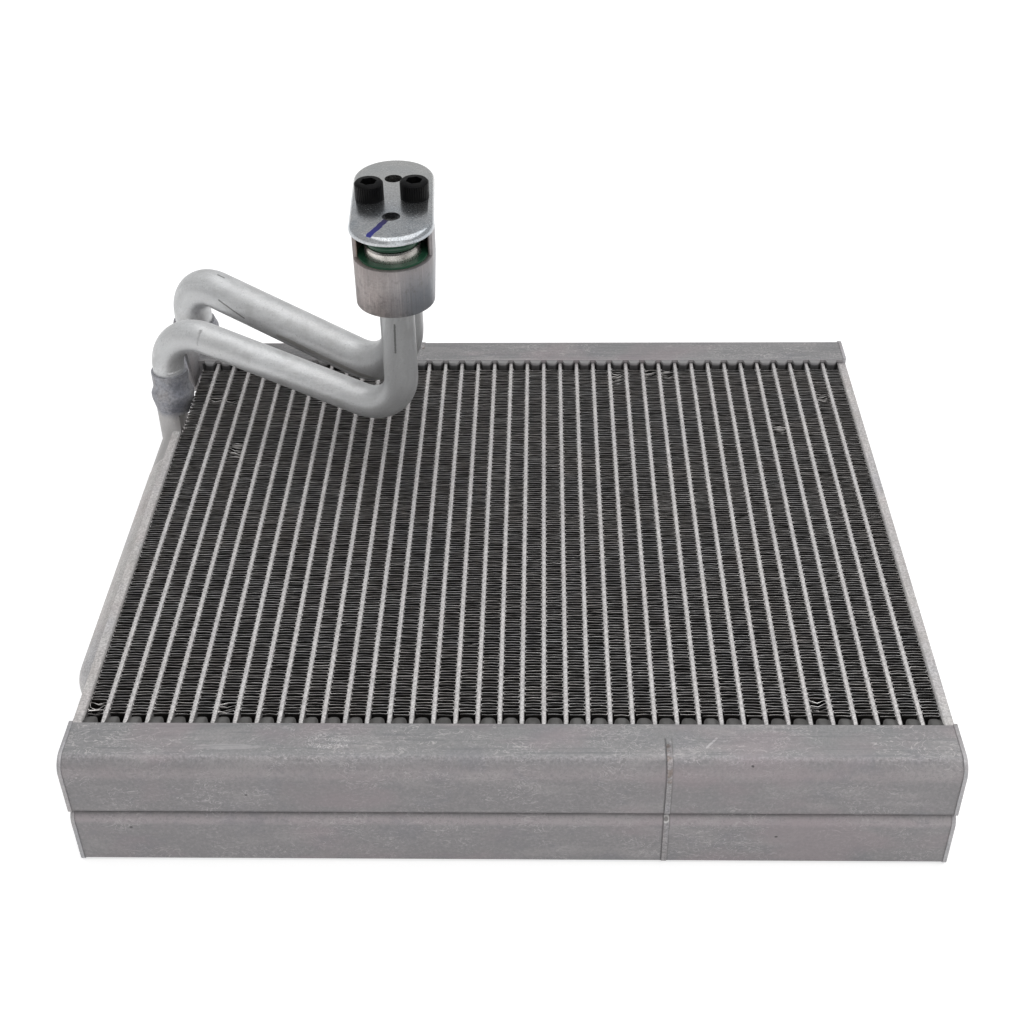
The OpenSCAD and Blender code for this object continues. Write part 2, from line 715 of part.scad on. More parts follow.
front_tank();
front_header();
front_left_cap();
front_right_cap();
front_baffle();
rear_tank();
rear_header();
rear_left_cap();
rear_right_cap();
rear_baffle();
upper_tubes();
lower_tubes();
left_fins();
middle_fins();
right_fins();
left_side_plate();
right_side_plate();
side_passage();
liquid_stub();
suction_stub();
liquid_pipe();
suction_pipe();
port_block();
liquid_spigot();
suction_spigot();
liquid_o_ring();
suction_o_ring();
liquid_face_seal();
suction_face_seal();
cover_plate();
cover_screws();
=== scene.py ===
"""Dresses the evaporator core: fins at their true spacing, drawn pipes, folded tanks and every finish."""

import math

import bmesh
import bpy
from bpy.props import FloatProperty, FloatVectorProperty, PointerProperty
from mathutils import Matrix, Vector, noise


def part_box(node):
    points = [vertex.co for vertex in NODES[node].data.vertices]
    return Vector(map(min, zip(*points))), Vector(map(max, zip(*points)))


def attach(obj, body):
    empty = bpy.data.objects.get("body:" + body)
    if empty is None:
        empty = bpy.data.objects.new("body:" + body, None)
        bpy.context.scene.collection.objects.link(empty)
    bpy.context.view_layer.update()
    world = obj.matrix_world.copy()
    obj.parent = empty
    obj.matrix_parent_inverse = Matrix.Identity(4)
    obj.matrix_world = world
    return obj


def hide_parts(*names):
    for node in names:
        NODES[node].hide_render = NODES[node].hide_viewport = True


bl_info = {
    "name": "Evaporator core",
    "version": (1, 0, 0),
    "blender": (4, 5, 0),
    "location": "View3D > Sidebar > Evaporator",
    "description": "Builds the finished look of a brazed evaporator core around its solids",
    "category": "Object",
}

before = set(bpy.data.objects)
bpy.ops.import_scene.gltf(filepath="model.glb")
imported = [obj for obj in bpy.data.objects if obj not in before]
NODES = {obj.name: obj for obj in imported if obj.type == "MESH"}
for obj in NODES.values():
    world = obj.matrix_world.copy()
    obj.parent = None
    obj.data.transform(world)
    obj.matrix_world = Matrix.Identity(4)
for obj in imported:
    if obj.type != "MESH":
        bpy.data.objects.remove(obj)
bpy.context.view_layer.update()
MM = 0.001


def box_mm(name):
    """Lowest and highest corner of a CAD node, in millimetres."""
    low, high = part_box(name)
    return [c / MM for c in low], [c / MM for c in high]


# Lengths, heights and places are in millimetres from here on, unless a comment says otherwise

TUBES = box_mm("upper_tubes")
TUBE_COUNT = 38
TUBE_THICK = 1.4
TUBE_PITCH = (TUBES[1][0] - TUBES[0][0] - TUBE_THICK) / (TUBE_COUNT - 1)
CORE_LEFT = TUBES[0][0] - TUBE_PITCH + TUBE_THICK

FIN_NODES = ("left_fins", "middle_fins", "right_fins")
FINS_IN_NODE = 13
(_, FIN_FRONT, FIN_LOW), (_, FIN_REAR, FIN_TOP) = box_mm(FIN_NODES[0])
FIN_GAP = 0.03  # from a fin's crests to the tubes beside it
FIN_STAGGER = 0.4  # how much further back every second fin lies
CREST_START = 0.45  # where a leg turns into its crest, from the crest's outside
CREST_SHOULDER = 0.09
LEG_BOW = 0.05  # of a leg's pitch
RIM_ROW = 1.3  # height of the upper and the lower row of faces
BEND_HEIGHT = 1.5  # how far down a dent bends a fin

TANK_TOP = 42.0
TANK_FACE = 117.0
# Heights of painted bands on a tank's face: shade in the groove and along the rim line, highlights on the
# shoulders
GROOVE = (20.0, 22.2)  # heights on a tank's face
LOW_SHOULDER = (16.6, 19.6)
HIGH_SHOULDER = (35.6, 39.9)
RIM_LINE = (40.9, 41.6)
# Dark lines beside the front baffle: low x, high x, softness, shade, amount
BAFFLE_LINES = ((44.6, 45.1, 0.2, 0.25, 0.75), (46.5, 46.8, 0.15, 0.45, 0.6))
BAFFLE_RING = (45.3, -TANK_FACE, 19.1)
TANK_NICKS = ((-76.3, 29.1), (-112.1, 14.9), (68.9, 40.5), (45.0, 38.8), (78.0, 12.0))  # x and height
ARCH_FOOT = -100.3  # where the front header's arches start to be drawn out, along y
ARCH_STRETCH = 1.8
LIQUID_HOLE_Z = 12.5  # middle of the hole in the front left cap

BLOCK_X = -41.5
BLOCK_Y = 56.5
BLOCK_TURN = math.radians(3)
PORTS = ((-40.61, 39.52), (-42.39, 73.48))
POCKET_FLOOR = 121.1
POCKET_RIM = (12.6, 12.1)  # radii between which a pocket's painted reflection and shade fade in
PLATE_TOP = 133.3
SCREW_REACH = 7.65  # from the block's middle to a screw
KNURL_TEETH = 38.0
KNURL_RIM = (4.5, 4.75)  # radii between which the knurling fades in
KNURL_HEIGHTS = (0.4, 5.3)  # above the plate

STUB_X = -134.05
NECK_SEAT = 43.85  # bottom of the seat that the raised passage has for the liquid stub's neck, along y
# Each pipe: stub's y, turn's height, bend radius, port's place, lowest height, bend radius
PIPE_PATHS = {
    "liquid": (78.05, 73.0, 17.0, PORTS[0], 56.2, 14.5),
    "suction": (125.75, 66.0, 13.5, PORTS[1], 49.4, 20.5),
}
# Ends of the short dark nicks on the pipes
PIPE_NICKS = (
    ((-118.0, 66.6, 65.4), (-109.6, 63.2, 63.8)),
    ((-118.4, 108.6, 64.5), (-108.0, 102.3, 60.0)),
    ((-119.5, 117.4, 70.9), (-116.8, 115.8, 70.3)),
    ((-41.1, 33.6, 97.0), (-41.4, 33.7, 86.0)),
)

# The camera: focal length and picture width in pixels, sensor in millimetres, yaw, pitch and roll in radians
FOCUS = 1496.3
PICTURE = 1024
SENSOR = 36.0
CAMERA_TURN = (-0.026, -0.655, -0.0155)
# Each lamp, in metres: its name, place, target and size
LAMPS = (("key", (0.25, 0.05, 1.4), (0, 0, 0), 2.0), ("front", (0.4, -1.5, 0.6), (0, 0, 0.03), 1.2))
# The floor in metres, and how brightly it shows behind the part
FLOOR_HALF = 6.0
FLOOR_DROP = 0.0002
FLOOR_GLOW = 0.62

CAP_BEVEL = 0.3
BLOCK_BEVEL = 0.25
MERGE = 2e-6  # distance in metres within which a copy's points are one
ON_PLANE = 0.01  # distance within which a point lies on a plane
FLAT = math.radians(0.5)
SHARP = math.radians(40)


def length(name, description, default_mm, low, high):
    """A length that a user may change, given in millimetres."""
    return FloatProperty(name=name, description=description, default=default_mm * MM, min=low * MM,
                         max=high * MM, unit="LENGTH", subtype="DISTANCE", precision=5)


def power(name, description, default):
    """A lamp's power that a user may change, in watts."""
    return FloatProperty(name=name, description=description, default=default, min=0, subtype="POWER")


def colour(name, description, default):
    """A colour that a user may change."""
    return FloatVectorProperty(name=name, description=description, default=default, min=0, max=1, size=3,
                               subtype="COLOR")


class FinSizes(bpy.types.PropertyGroup):
    """Folded fins"""

    leg_pitch: length("Leg pitch", "Distance from one leg of a fin to the next", 1.165, 0.8, 3)
    sheet: length("Sheet", "Thickness of the fin sheet", 0.1, 0.05, 0.2)
    uneven: length("Unevenness", "How far a leg strays from its place", 0.16, 0, 0.4)
    # The rim colour is a painted highlight on the fins' rims, the deep colour painted shade on the sheet below
    # them
    lit_rim_colour: colour("Rim colour", "Colour of the cut rims of the fin sheet", (0.62, 0.60, 0.59))
    shaded_deep_colour: colour("Deep colour", "Colour of the dusty sheet between the rims", (0.075, 0.072, 0.07))


class MetalColours(bpy.types.PropertyGroup):
    """Colours of the metals"""

    tank: colour("Tank", "Dull brazed aluminium of the tanks", (0.285, 0.275, 0.28))
    cap: colour("Cap", "End caps and baffles", (0.36, 0.355, 0.36))
    tube: colour("Tube", "Bare noses of the flat tubes", (0.57, 0.555, 0.55))
    side: colour("Side plate", "Side plates with their folded flanges", (0.50, 0.485, 0.475))
    pipe: colour("Pipe", "Drawn pipes", (0.61, 0.615, 0.62))
    cup: colour("Cup", "Cups stained by brazing flux", (0.27, 0.275, 0.30))
    block: colour("Block", "Sawn port block", (0.41, 0.37, 0.36))
    zinc: colour("Zinc", "Zinc-plated cover plate", (0.49, 0.50, 0.515))
    screw: colour("Screw", "Black oxide of the screws", (0.004, 0.004, 0.0045))
    rubber: colour("Rubber", "Green rubber of the seals", (0.022, 0.085, 0.047))


class StageSizes(bpy.types.PropertyGroup):
    """Camera and light"""

    camera_place: FloatVectorProperty(name="Camera", description="Place of the camera", size=3,
                                      default=(0.00942, -0.40845, 0.3564), subtype="TRANSLATION", unit="LENGTH")
    key_light: power("Key light", "Power of the large light above", 15.0)
    front_light: power("Front light", "Power of the soft light in front", 2.6)
    room_light: FloatProperty(name="Room light", description="Brightness of the white room", default=0.55,
                              min=0, max=2)


class Tree:
    """Adds linked shader nodes to the emptied node tree of a material or a world."""

    def __init__(self, owner):
        owner.use_nodes = True
        owner.node_tree.nodes.clear()
        self.tree = owner.node_tree

    def add(self, kind, props=None, **inputs):
        """Adds a node; i0, i1 and so on are inputs by number, and _ stands for a space."""
        made = self.tree.nodes.new("ShaderNode" + kind)
        for key, value in (props or {}).items():
            setattr(made, key, value)
        for key, value in inputs.items():
            numbered = key[0] == "i" and key[1:].isdigit()
            self.put(made, int(key[1:]) if numbered else key.replace("_", " "), value)
        return made

    def put(self, made, key, value):
        """Links or sets one input."""
        socket = made.inputs[key]
        if isinstance(value, bpy.types.NodeSocket):
            self.tree.links.new(value, socket)
        elif isinstance(value, bpy.types.Node):
            self.tree.links.new(value.outputs[0], socket)
        else:
            socket.default_value = value

    def math(self, operation, a, b=0.0, clamp=False):
        return self.add("Math", {"operation": operation, "use_clamp": clamp}, i0=a, i1=b).outputs[0]

    def mix(self, factor, a, b, blend="MIX"):
        made = self.add("Mix", {"data_type": "RGBA", "blend_type": blend})
        self.put(made, 0, factor)
        self.put(made, 6, a)
        self.put(made, 7, b)
        return made.outputs[2]

    def remap(self, value, low, high, to_low=0.0, to_high=1.0):
        """Takes low to to_low and high to to_high, and stays within them."""
        return self.add("MapRange", {"clamp": True}, i0=value, i1=low, i2=high, i3=to_low,
                        i4=to_high).outputs[0]

    def times(self, *values):
        total = values[0]
        for value in values[1:]:
            total = self.math("MULTIPLY", total, value)
        return total

    def band(self, value, low, high, soft):
        """1 between low and high, falling to 0 over twice soft at either end."""
        return self.times(self.remap(value, low - soft, low + soft),
                          self.remap(value, high + soft, high - soft))

    def vector(self, operation, a, b=(0, 0, 0)):
        made = self.add("VectorMath", {"operation": operation}, i0=a, i1=b)
        return made.outputs["Value" if operation in ("DOT_PRODUCT", "LENGTH", "DISTANCE") else "Vector"]

    def split_mm(self, place):
        """The three coordinates of a place, in millimetres."""
        parts = self.add("SeparateXYZ", Vector=self.vector("MULTIPLY", place, (1000, 1000, 1000)))
        return parts.outputs[0], parts.outputs[1], parts.outputs[2]

    def noise(self, place, scale, detail=3.0, roughness=0.6, distortion=0.0, stretch=None):
        if stretch:
            place = self.vector("MULTIPLY", place, stretch)
        return self.add("TexNoise", Vector=place, Scale=scale, Detail=detail, Roughness=roughness,
                        Distortion=distortion).outputs[0]

    def patches(self, low, high, place, scale, detail=3.0, roughness=0.6, stretch=None):
        """Ragged patches: 0 where the noise is at low and 1 where it is at high."""
        return self.remap(self.noise(place, scale, detail, roughness, stretch=stretch), low, high)

    def use(self, group, **inputs):
        """Places a node group."""
        placed = self.add("Group")
        placed.node_tree = group
        for key, value in inputs.items():
            self.put(placed, key.replace("_", " "), value)
        return placed

    def clouds(self, place, base, warm, cool, scale, amount):
        """A colour with clouds of two tints."""
        return self.use(mottle_group(), Vector=place, Color=base, Warm=rgba(warm), Cool=rgba(cool), Scale=scale,
                        Amount=amount)

    def toned(self, base, tone):
        """A colour, made lighter or darker by a value."""
        return self.mix(1.0, base, self.add("CombineXYZ", X=tone, Y=tone, Z=tone), "MULTIPLY")


class GroupTree(Tree):
    """The same for a node group, whose tree is there already."""

    def __init__(self, group):
        self.tree = group


def rgba(c):
    """A colour with full alpha."""
    return (*c[:3], 1.0)


def tint(c, r, g, b):
    """A colour times a factor for each channel, at most 1."""
    return tuple(min(1.0, v * factor) for v, factor in zip(c, (r, g, b)))


def shade(c, factor):
    """A lighter or darker colour of the same hue."""
    return tint(c, factor, factor, factor)


def metres(lengths):
    """Millimetres as metres."""
    return [v * MM for v in lengths]


def group(name, inputs, outputs, build):
    """Makes a shader node group once. Its inputs are a place and the named values, with their defaults."""
    if name in bpy.data.node_groups:
        return bpy.data.node_groups[name]
    made = bpy.data.node_groups.new(name, "ShaderNodeTree")
    for label, default in {"Vector": (0, 0, 0), **inputs}.items():
        kind = "Float" if isinstance(default, float) else ("Vector", "Color")[len(default) - 3]
        socket = made.interface.new_socket(label, in_out="INPUT", socket_type="NodeSocket" + kind)
        socket.default_value = default
    for label in outputs:
        kind = {"Color": "Color", "Normal": "Vector"}.get(label, "Float")
        made.interface.new_socket(label, in_out="OUTPUT", socket_type="NodeSocket" + kind)
    tree = GroupTree(made)
    source = made.nodes.new("NodeGroupInput")
    sink = made.nodes.new("NodeGroupOutput")
    for label, value in build(tree, source.outputs).items():
        tree.put(sink, label, value)
    return made


def streaks_group():
    """Long streaks along one direction, as rolling and drawing leave them."""

    def build(t, s):
        place = t.vector("MULTIPLY", s["Vector"], s["Stretch"])
        coarse = t.noise(place, s["Scale"], 4.0)
        fine = t.noise(place, t.times(s["Scale"], 6.3), 3.0, 0.7)
        both = t.math("ADD", t.times(coarse, 0.6), t.times(fine, 0.4))
        return {"Mask": t.remap(both, 0.36, 0.64), "Fine": t.remap(fine, 0.3, 0.7)}

    return group("streaks", {"Stretch": (1, 1, 1), "Scale": 100.0}, ("Mask", "Fine"), build)


def mottle_group():
    """Cloudy patches of two tints, as flux and heat leave them on brazed aluminium."""

    def build(t, s):
        warm = t.remap(t.noise(s["Vector"], s["Scale"], 5.0, 0.62, 0.4), 0.42, 0.68)
        elsewhere = t.vector("ADD", s["Vector"], (0.31, 0.17, 0.53))
        cool = t.patches(0.45, 0.68, elsewhere, t.times(s["Scale"], 0.55), 4.0)
        first = t.mix(t.times(warm, s["Amount"]), s["Color"], s["Warm"])
        return {"Color": t.mix(t.times(cool, s["Amount"]), first, s["Cool"])}

    return group("mottle", {"Color": (0.5, 0.5, 0.5, 1), "Warm": (0.5, 0.4, 0.4, 1), "Cool": (0.4, 0.4, 0.5, 1),
                            "Scale": 60.0, "Amount": 0.5}, ("Color",), build)


def spot_group():
    """A soft patch with a ragged rim round one point."""

    def build(t, s):
        away = t.vector("SUBTRACT", s["Vector"], s["Centre"])
        far = t.vector("LENGTH", t.vector("DIVIDE", away, s["Reach"]))
        rag = t.math("SUBTRACT", t.noise(s["Vector"], s["Rag"], roughness=0.5), 0.5)
        return {"Mask": t.remap(t.math("ADD", far, t.times(rag, 1.1)), 1.0, 0.7)}

    return group("spot", {"Centre": (0, 0, 0), "Reach": (0.01, 0.01, 0.01), "Rag": 400.0}, ("Mask",), build)


def grain_group():
    """Fine blasted grain as a normal, with a little colour speckle."""

    def build(t, s):
        grain = t.noise(s["Vector"], s["Scale"], 3.0, 0.7)
        bump = t.add("Bump", Height=grain, Distance=s["Depth"], Strength=0.6)
        return {"Normal": bump.outputs[0], "Speckle": t.remap(grain, 0.35, 0.65)}

    return group("grain", {"Scale": 1500.0, "Depth": 0.00003}, ("Normal", "Speckle"), build)


def stroke_group():
    """A ragged line from one point to another, such as a scratch or a marker stroke."""

    def build(t, s):
        whole = t.vector("SUBTRACT", s["To"], s["From"])
        away = t.vector("SUBTRACT", s["Vector"], s["From"])
        share = t.math("DIVIDE", t.vector("DOT_PRODUCT", away, whole), t.vector("DOT_PRODUCT", whole, whole),
                       clamp=True)
        foot = t.add("VectorMath", {"operation": "SCALE"}, i0=whole, Scale=share).outputs[0]
        far = t.vector("DISTANCE", away, foot)
        ragged = t.times(t.math("SUBTRACT", t.noise(s["Vector"], s["Rag"]), 0.5), 0.9)
        return {"Mask": t.remap(t.math("ADD", t.math("DIVIDE", far, s["Half Width"]), ragged), 1.05, 0.7),
                "Share": share}

    return group("stroke", {"From": (0, 0, 0), "To": (0.01, 0, 0), "Half Width": 0.0005, "Rag": 900.0},
                 ("Mask", "Share"), build)


def scribbles_group():
    """Fine curling scratches in patches, and the specks between them."""

    def build(t, s):
        curls = t.noise(s["Vector"], s["Scale"], 2.5, 0.65, 1.4, s["Stretch"])
        level = t.math("ABSOLUTE", t.math("SUBTRACT", curls, 0.5))
        patches = t.patches(0.44, 0.6, s["Vector"], t.times(s["Scale"], 0.16), 2.0)
        specks = t.patches(0.60, 0.72, s["Vector"], t.times(s["Scale"], 4.5), 2.0, 0.8)
        return {"Lines": t.times(t.remap(level, 0.02, 0.0), patches), "Specks": specks}

    return group("scribbles", {"Stretch": (1, 1, 1), "Scale": 260.0}, ("Lines", "Specks"), build)


class Finish(Tree):
    """The tree of a material whose colour so far takes further marks."""

    def __init__(self, name):
        self.made = bpy.data.materials.get(name) or bpy.data.materials.new(name)
        super().__init__(self.made)
        self.place = self.add("TexCoord").outputs["Object"]
        self.colours = bpy.context.scene.evaporator_metals

    def lay(self, mask, c, amount=1.0):
        """Lays a colour over what there is so far, where mask says so."""
        self.colour = self.mix(self.times(mask, amount), self.colour, rgba(c))

    def scribble(self, place, scale, stretch, c, lines, specks, where=1.0):
        """Light curling scratches and dark specks."""
        marks = self.use(scribbles_group(), Vector=place, Scale=scale, Stretch=stretch)
        self.lay(self.times(marks.outputs["Lines"], where), c, lines)
        self.lay(self.times(marks.outputs["Specks"], where), shade(c, 0.35), specks)

    def patch(self, centre, reach, rag=900.0):
        """Mask of a ragged patch."""
        return self.use(spot_group(), Vector=self.place, Centre=metres(centre), Reach=metres(reach),
                        Rag=rag).outputs["Mask"]

    def line(self, start, end, width, rag=900.0):
        """Mask of a ragged line, and how far along it a place is."""
        return self.use(stroke_group(), Vector=self.place, From=metres(start), To=metres(end),
                        Half_Width=width / 2 * MM, Rag=rag).outputs

    def spot(self, centre, reach, c, amount, rag=900.0):
        self.lay(self.patch(centre, reach, rag), c, amount)

    def stroke(self, start, end, width, c, amount, rag=900.0):
        self.lay(self.line(start, end, width, rag)["Mask"], c, amount)

    def grain(self, scale, depth):
        return self.use(grain_group(), Vector=self.place, Scale=scale, Depth=depth)

    def close(self, **inputs):
        """Adds the shader that all of it feeds, and gives the material."""
        self.add("OutputMaterial", Surface=self.add("BsdfPrincipled", **inputs))
        return self.made


def metal(name, base, light, streak_axis=0, stretch=0.04, streak_scale=900.0, warm=(0.45, 0.38, 0.38),
          cool=(0.38, 0.39, 0.44), mottle=0.35, mottle_scale=70.0, roughness=(0.38, 0.55), metallic=0.75,
          grain=1500.0, depth=0.00003, speckle=0.12, flow=None, more=None):
    """Satin aluminium: streaks along one axis, cloudy tints and a fine grain. more adds marks of one piece."""
    t = Finish(name)
    along = [1.0, 1.0, 1.0]
    along[streak_axis] = stretch
    course = t.add("Attribute", {"attribute_name": flow}).outputs["Vector"] if flow else t.place
    streaks = t.use(streaks_group(), Vector=course, Stretch=along, Scale=streak_scale).outputs
    base_colour = t.mix(streaks["Mask"], rgba(base), rgba(light))
    cloudy = t.clouds(t.place, base_colour, warm, cool, mottle_scale, mottle)
    grained = t.grain(grain, depth).outputs
    t.colour = t.toned(cloudy, t.remap(grained["Speckle"], 0.0, 1.0, 1.0 - speckle, 1.0 + speckle))
    t.rough = t.remap(streaks["Fine"], 0.0, 1.0, *roughness)
    t.metallic = metallic
    t.fine = streaks["Fine"]
    if more:
        more(t)
    return t.close(Base_Color=t.colour, Roughness=t.rough, Metallic=t.metallic, Normal=grained["Normal"])


def paint(obj, material):
    """Gives an object one material."""
    obj.data.materials.clear()
    obj.data.materials.append(material)


def finish_mesh(name, bm, material, node, smooth):
    """Turns a bmesh in millimetres into a piece that rides on the core and replaces a CAD node."""
    bmesh.ops.scale(bm, vec=(MM, MM, MM), verts=bm.verts)
    mesh = bpy.data.meshes.new(name)
    bm.to_mesh(mesh)
    bm.free()
    piece = bpy.data.objects.new(name, mesh)
    bpy.context.scene.collection.objects.link(piece)
    mesh.shade_smooth()
    mesh.set_sharp_from_angle(angle=math.radians(smooth))
    paint(piece, material)
    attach(piece, "root")
    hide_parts(node)


def smooth_copy(node, name, material, smooth=32.0, bevel=0.0, change=None, halve=None):
    """A merged copy of a CAD node's mesh, so that its round faces shade smoothly.

    Where a flat face has a hole in it, halve gives a height through the hole at which the face is cut in two.
    """
    bm = bmesh.new()
    bm.from_mesh(NODES[node].data)
    bmesh.ops.remove_doubles(bm, verts=bm.verts, dist=MERGE)
    bmesh.ops.scale(bm, vec=(1 / MM,) * 3, verts=bm.verts)
    bmesh.ops.dissolve_limit(bm, angle_limit=FLAT, verts=bm.verts, edges=bm.edges)
    if halve is not None:
        bmesh.ops.bisect_plane(bm, geom=bm.verts[:] + bm.edges[:] + bm.faces[:], dist=1e-4,
                               plane_co=(0, 0, halve), plane_no=(0, 0, 1))
        flat = [e for e in bm.edges if len(e.link_faces) == 2 and e.calc_face_angle(1) < FLAT
                and max(abs(v.co.z - halve) for v in e.verts) > ON_PLANE]
        bmesh.ops.dissolve_edges(bm, edges=flat)
    if bevel:
        sharp = [e for e in bm.edges if len(e.link_faces) == 2 and e.calc_face_angle(0) > SHARP]
        bmesh.ops.bevel(bm, geom=sharp, offset=bevel, offset_type="OFFSET", segments=2, profile=0.5,
                        affect="EDGES", material=-1, clamp_overlap=True)
    if change:
        change(bm)
    finish_mesh(name, bm, material, node, smooth)


# Places where the fins were bent over in handling: x, y, reach along x, reach along y, lean
FIN_DENTS = (
    (-103.0, 41.3, 2.6, 5.5, 0.9),
    (-116.5, 74.2, 2.4, 1.6, 0.8),
    (-110.9, 73.5, 2.4, 1.6, 0.8),
    (-86.1, -92.0, 2.4, 2.6, 0.8),
    (-123.6, -92.2, 2.4, 3.0, 1.0),
    (38.5, 90.3, 2.4, 4.5, 0.9),
    (50.8, 93.2, 2.0, 3.0, 0.8),
    (58.3, 93.1, 2.0, 3.5, 0.8),
    (116.6, 75.8, 2.2, 3.5, 0.8),
    (97.8, 54.1, 2.4, 3.0, 0.7),
    (90.1, -90.0, 2.4, 2.4, 0.7),
)


def only_verts(geometry):
    """The points among a bmesh operator's results."""
    return [v for v in geometry if isinstance(v, bmesh.types.BMVert)]


def fin_strip(sizes):
    """One folded fin at the origin: legs, round crests and three rows of points up its height."""
    pitch = sizes.leg_pitch / MM
    wide = TUBE_PITCH - TUBE_THICK - 2 * FIN_GAP
    half = wide / 2
    far_start, far_shoulder = wide - CREST_START, wide - CREST_SHOULDER
    bm = bmesh.new()
    # Two legs and two crests as seen from above: across in millimetres, along in legs' pitches
    fold = [(CREST_START, 0.0), (half, LEG_BOW), (far_start, 0.0), (far_shoulder, 0.2), (wide, 0.5),
            (far_shoulder, 0.8), (far_start, 1.0), (half, 1 + LEG_BOW), (CREST_START, 1.0),
            (CREST_SHOULDER, 1.2), (0.0, 1.5), (CREST_SHOULDER, 1.8), (CREST_START, 2.0)]
    verts = [bm.verts.new((x, y * pitch, FIN_LOW)) for x, y in fold]
    for a, b in zip(verts, verts[1:]):
        bm.edges.new((a, b))
    one = bm.verts[:] + bm.edges[:]
    folds = int((FIN_REAR - FIN_FRONT) / (2 * pitch))
    for k in range(1, folds):
        more = only_verts(bmesh.ops.duplicate(bm, geom=one)["geom"])
        bmesh.ops.translate(bm, vec=(0, 2 * pitch * k, 0), verts=more)
    bmesh.ops.remove_doubles(bm, verts=bm.verts, dist=0.001)
    bmesh.ops.translate(bm, vec=(0, (FIN_FRONT + FIN_REAR) / 2 - folds * pitch, 0), verts=bm.verts)
    edges = bm.edges[:]
    for rise in (FIN_TOP - FIN_LOW - RIM_ROW, RIM_ROW):
        made = bmesh.ops.extrude_edge_only(bm, edges=edges)["geom"]
        bmesh.ops.translate(bm, vec=(0, 0, rise), verts=only_verts(made))
        edges = [e for e in made if isinstance(e, bmesh.types.BMEdge) and e.verts[0].co.z == e.verts[1].co.z]
    bmesh.ops.solidify(bm, geom=bm.faces[:], thickness=sizes.sheet / MM)
    return bm


def bend_fins(bm, verts, uneven, seed):
    """Lets each leg stray a little, leans the tops of the dented ones and marks them."""
    bent = bm.verts.layers.float["bent"]
    for v in verts:
        x, y, z = v.co
        high = max(0.0, (z - FIN_TOP + BEND_HEIGHT) / BEND_HEIGHT)
        stray = noise.noise((x * 0.45 + seed * 7.7, y * 1.9, z * 0.02))
        slow = noise.noise((x * 0.08 + seed * 3.1, y * 0.11, 4.2))
        v.co.y += uneven * (1.7 * stray + 1.2 * slow)
        v.co.x += 0.25 * uneven * noise.noise((seed * 5.3, y * 0.9, 9.1))
        v.co.z += 0.6 * uneven * high * (noise.noise((x * 0.6, y * 1.3, seed * 2.2)) - 0.5)
        for cx, cy, rx, ry, lean in FIN_DENTS:
            far = ((x - cx) / rx) ** 2 + ((y - cy) / ry) ** 2
            if far < 1:
                full = (1 - far) ** 0.5 * high
                some = full * (0.75 + 1.1 * noise.noise((x * 1.3, y * 0.9, 1.7)))
                v.co.y -= 1.6 * lean * some
                v.co.z -= 0.45 * lean * max(some, 0.0)
                v[bent] = max(v[bent], full * (0.8 + 0.9 * noise.noise((x * 2.1, y * 1.4, 6.1))))


def fin_sheet_material(sizes):
    """Painted highlight on the cut rims and crests, painted shade between the rims, painted glints, shiny bent
    places.
    """
    t = Finish("fin sheet")
    place = t.place
    x, _, z = t.split_mm(place)
    middle = (FIN_TOP + FIN_LOW) / 2
    depth = t.math("SUBTRACT", FIN_TOP - middle, t.math("ABSOLUTE", t.math("SUBTRACT", z, middle)))
    # Painted highlight along the legs' upper and lower rims, painted shade deeper down between them
    rim = t.remap(depth, 0.5, 0.12)
    by_leg = t.noise(place, 1.0, 1.0, stretch=(110, 900, 0))
    tone = t.remap(by_leg, 0.3, 0.7, 0.62, 1.1)
    cell = t.math("FRACT", t.math("DIVIDE", t.math("SUBTRACT", x, CORE_LEFT), TUBE_PITCH))
    half = (TUBE_PITCH - TUBE_THICK) / TUBE_PITCH / 2
    crest = t.math("ABSOLUTE", t.math("SUBTRACT", cell, half))
    # Painted highlight on the crests beside the tubes
    tone = t.times(tone, t.remap(crest, half - 0.09, half - 0.03, 1.0, 1.6))
    light = t.clouds(place, rgba(sizes.lit_rim_colour), (0.60, 0.54, 0.50), (0.50, 0.52, 0.54), 90.0, 0.45)
    shaded = t.clouds(place, rgba(sizes.shaded_deep_colour), (0.07, 0.055, 0.045), (0.035, 0.036, 0.038), 200.0, 0.7)
    colours = t.mix(rim, shaded, t.toned(light, tone))
    # Painted glints: bright specks on the rims, joined below with the lighter, glossier bent places
    painted_glints = t.times(t.patches(0.68, 0.74, place, 1400.0, 1.0), rim)
    bent = t.add("Attribute", {"attribute_name": "bent"}).outputs["Fac"]
    glints_and_bends = t.math("MAXIMUM", t.times(painted_glints, 0.8), t.remap(bent, 0.1, 0.45))
    return t.close(Metallic=t.remap(glints_and_bends, 0.0, 1.0, 0.85, 0.35), Normal=t.grain(2500.0, 0.00002),
                   Base_Color=t.mix(glints_and_bends, colours, (0.90, 0.87, 0.85, 1)),
                   Roughness=t.remap(glints_and_bends, 0.0, 1.0, 0.42, 0.2))


class EVAPORATOR_OT_fins(bpy.types.Operator):
    """Builds the folded fins at their true spacing"""

    bl_idname = "evaporator.fins"
    bl_label = "Fins"

    def execute(self, context):
        sizes = context.scene.evaporator_fins
        sheet = fin_sheet_material(sizes)
        strip = fin_strip(sizes)
        strip_mesh = bpy.data.meshes.new("fin_strip")
        strip.to_mesh(strip_mesh)
        strip.free()
        left = CORE_LEFT + FIN_GAP
        for part, node in enumerate(FIN_NODES):
            whole = bmesh.new()
            whole.verts.layers.float.new("bent")
            for k in range(part * FINS_IN_NODE, (part + 1) * FINS_IN_NODE):
                start = len(whole.verts)
                whole.from_mesh(strip_mesh)
                whole.verts.ensure_lookup_table()
                verts = whole.verts[start:]
                bmesh.ops.translate(whole, vec=(left + k * TUBE_PITCH, FIN_STAGGER * (k % 2), 0), verts=verts)
                bend_fins(whole, verts, sizes.uneven / MM, k)
            finish_mesh("fins_" + node.split("_")[0], whole, sheet, node, 40)
        bpy.data.meshes.remove(strip_mesh)
        return {"FINISHED"}


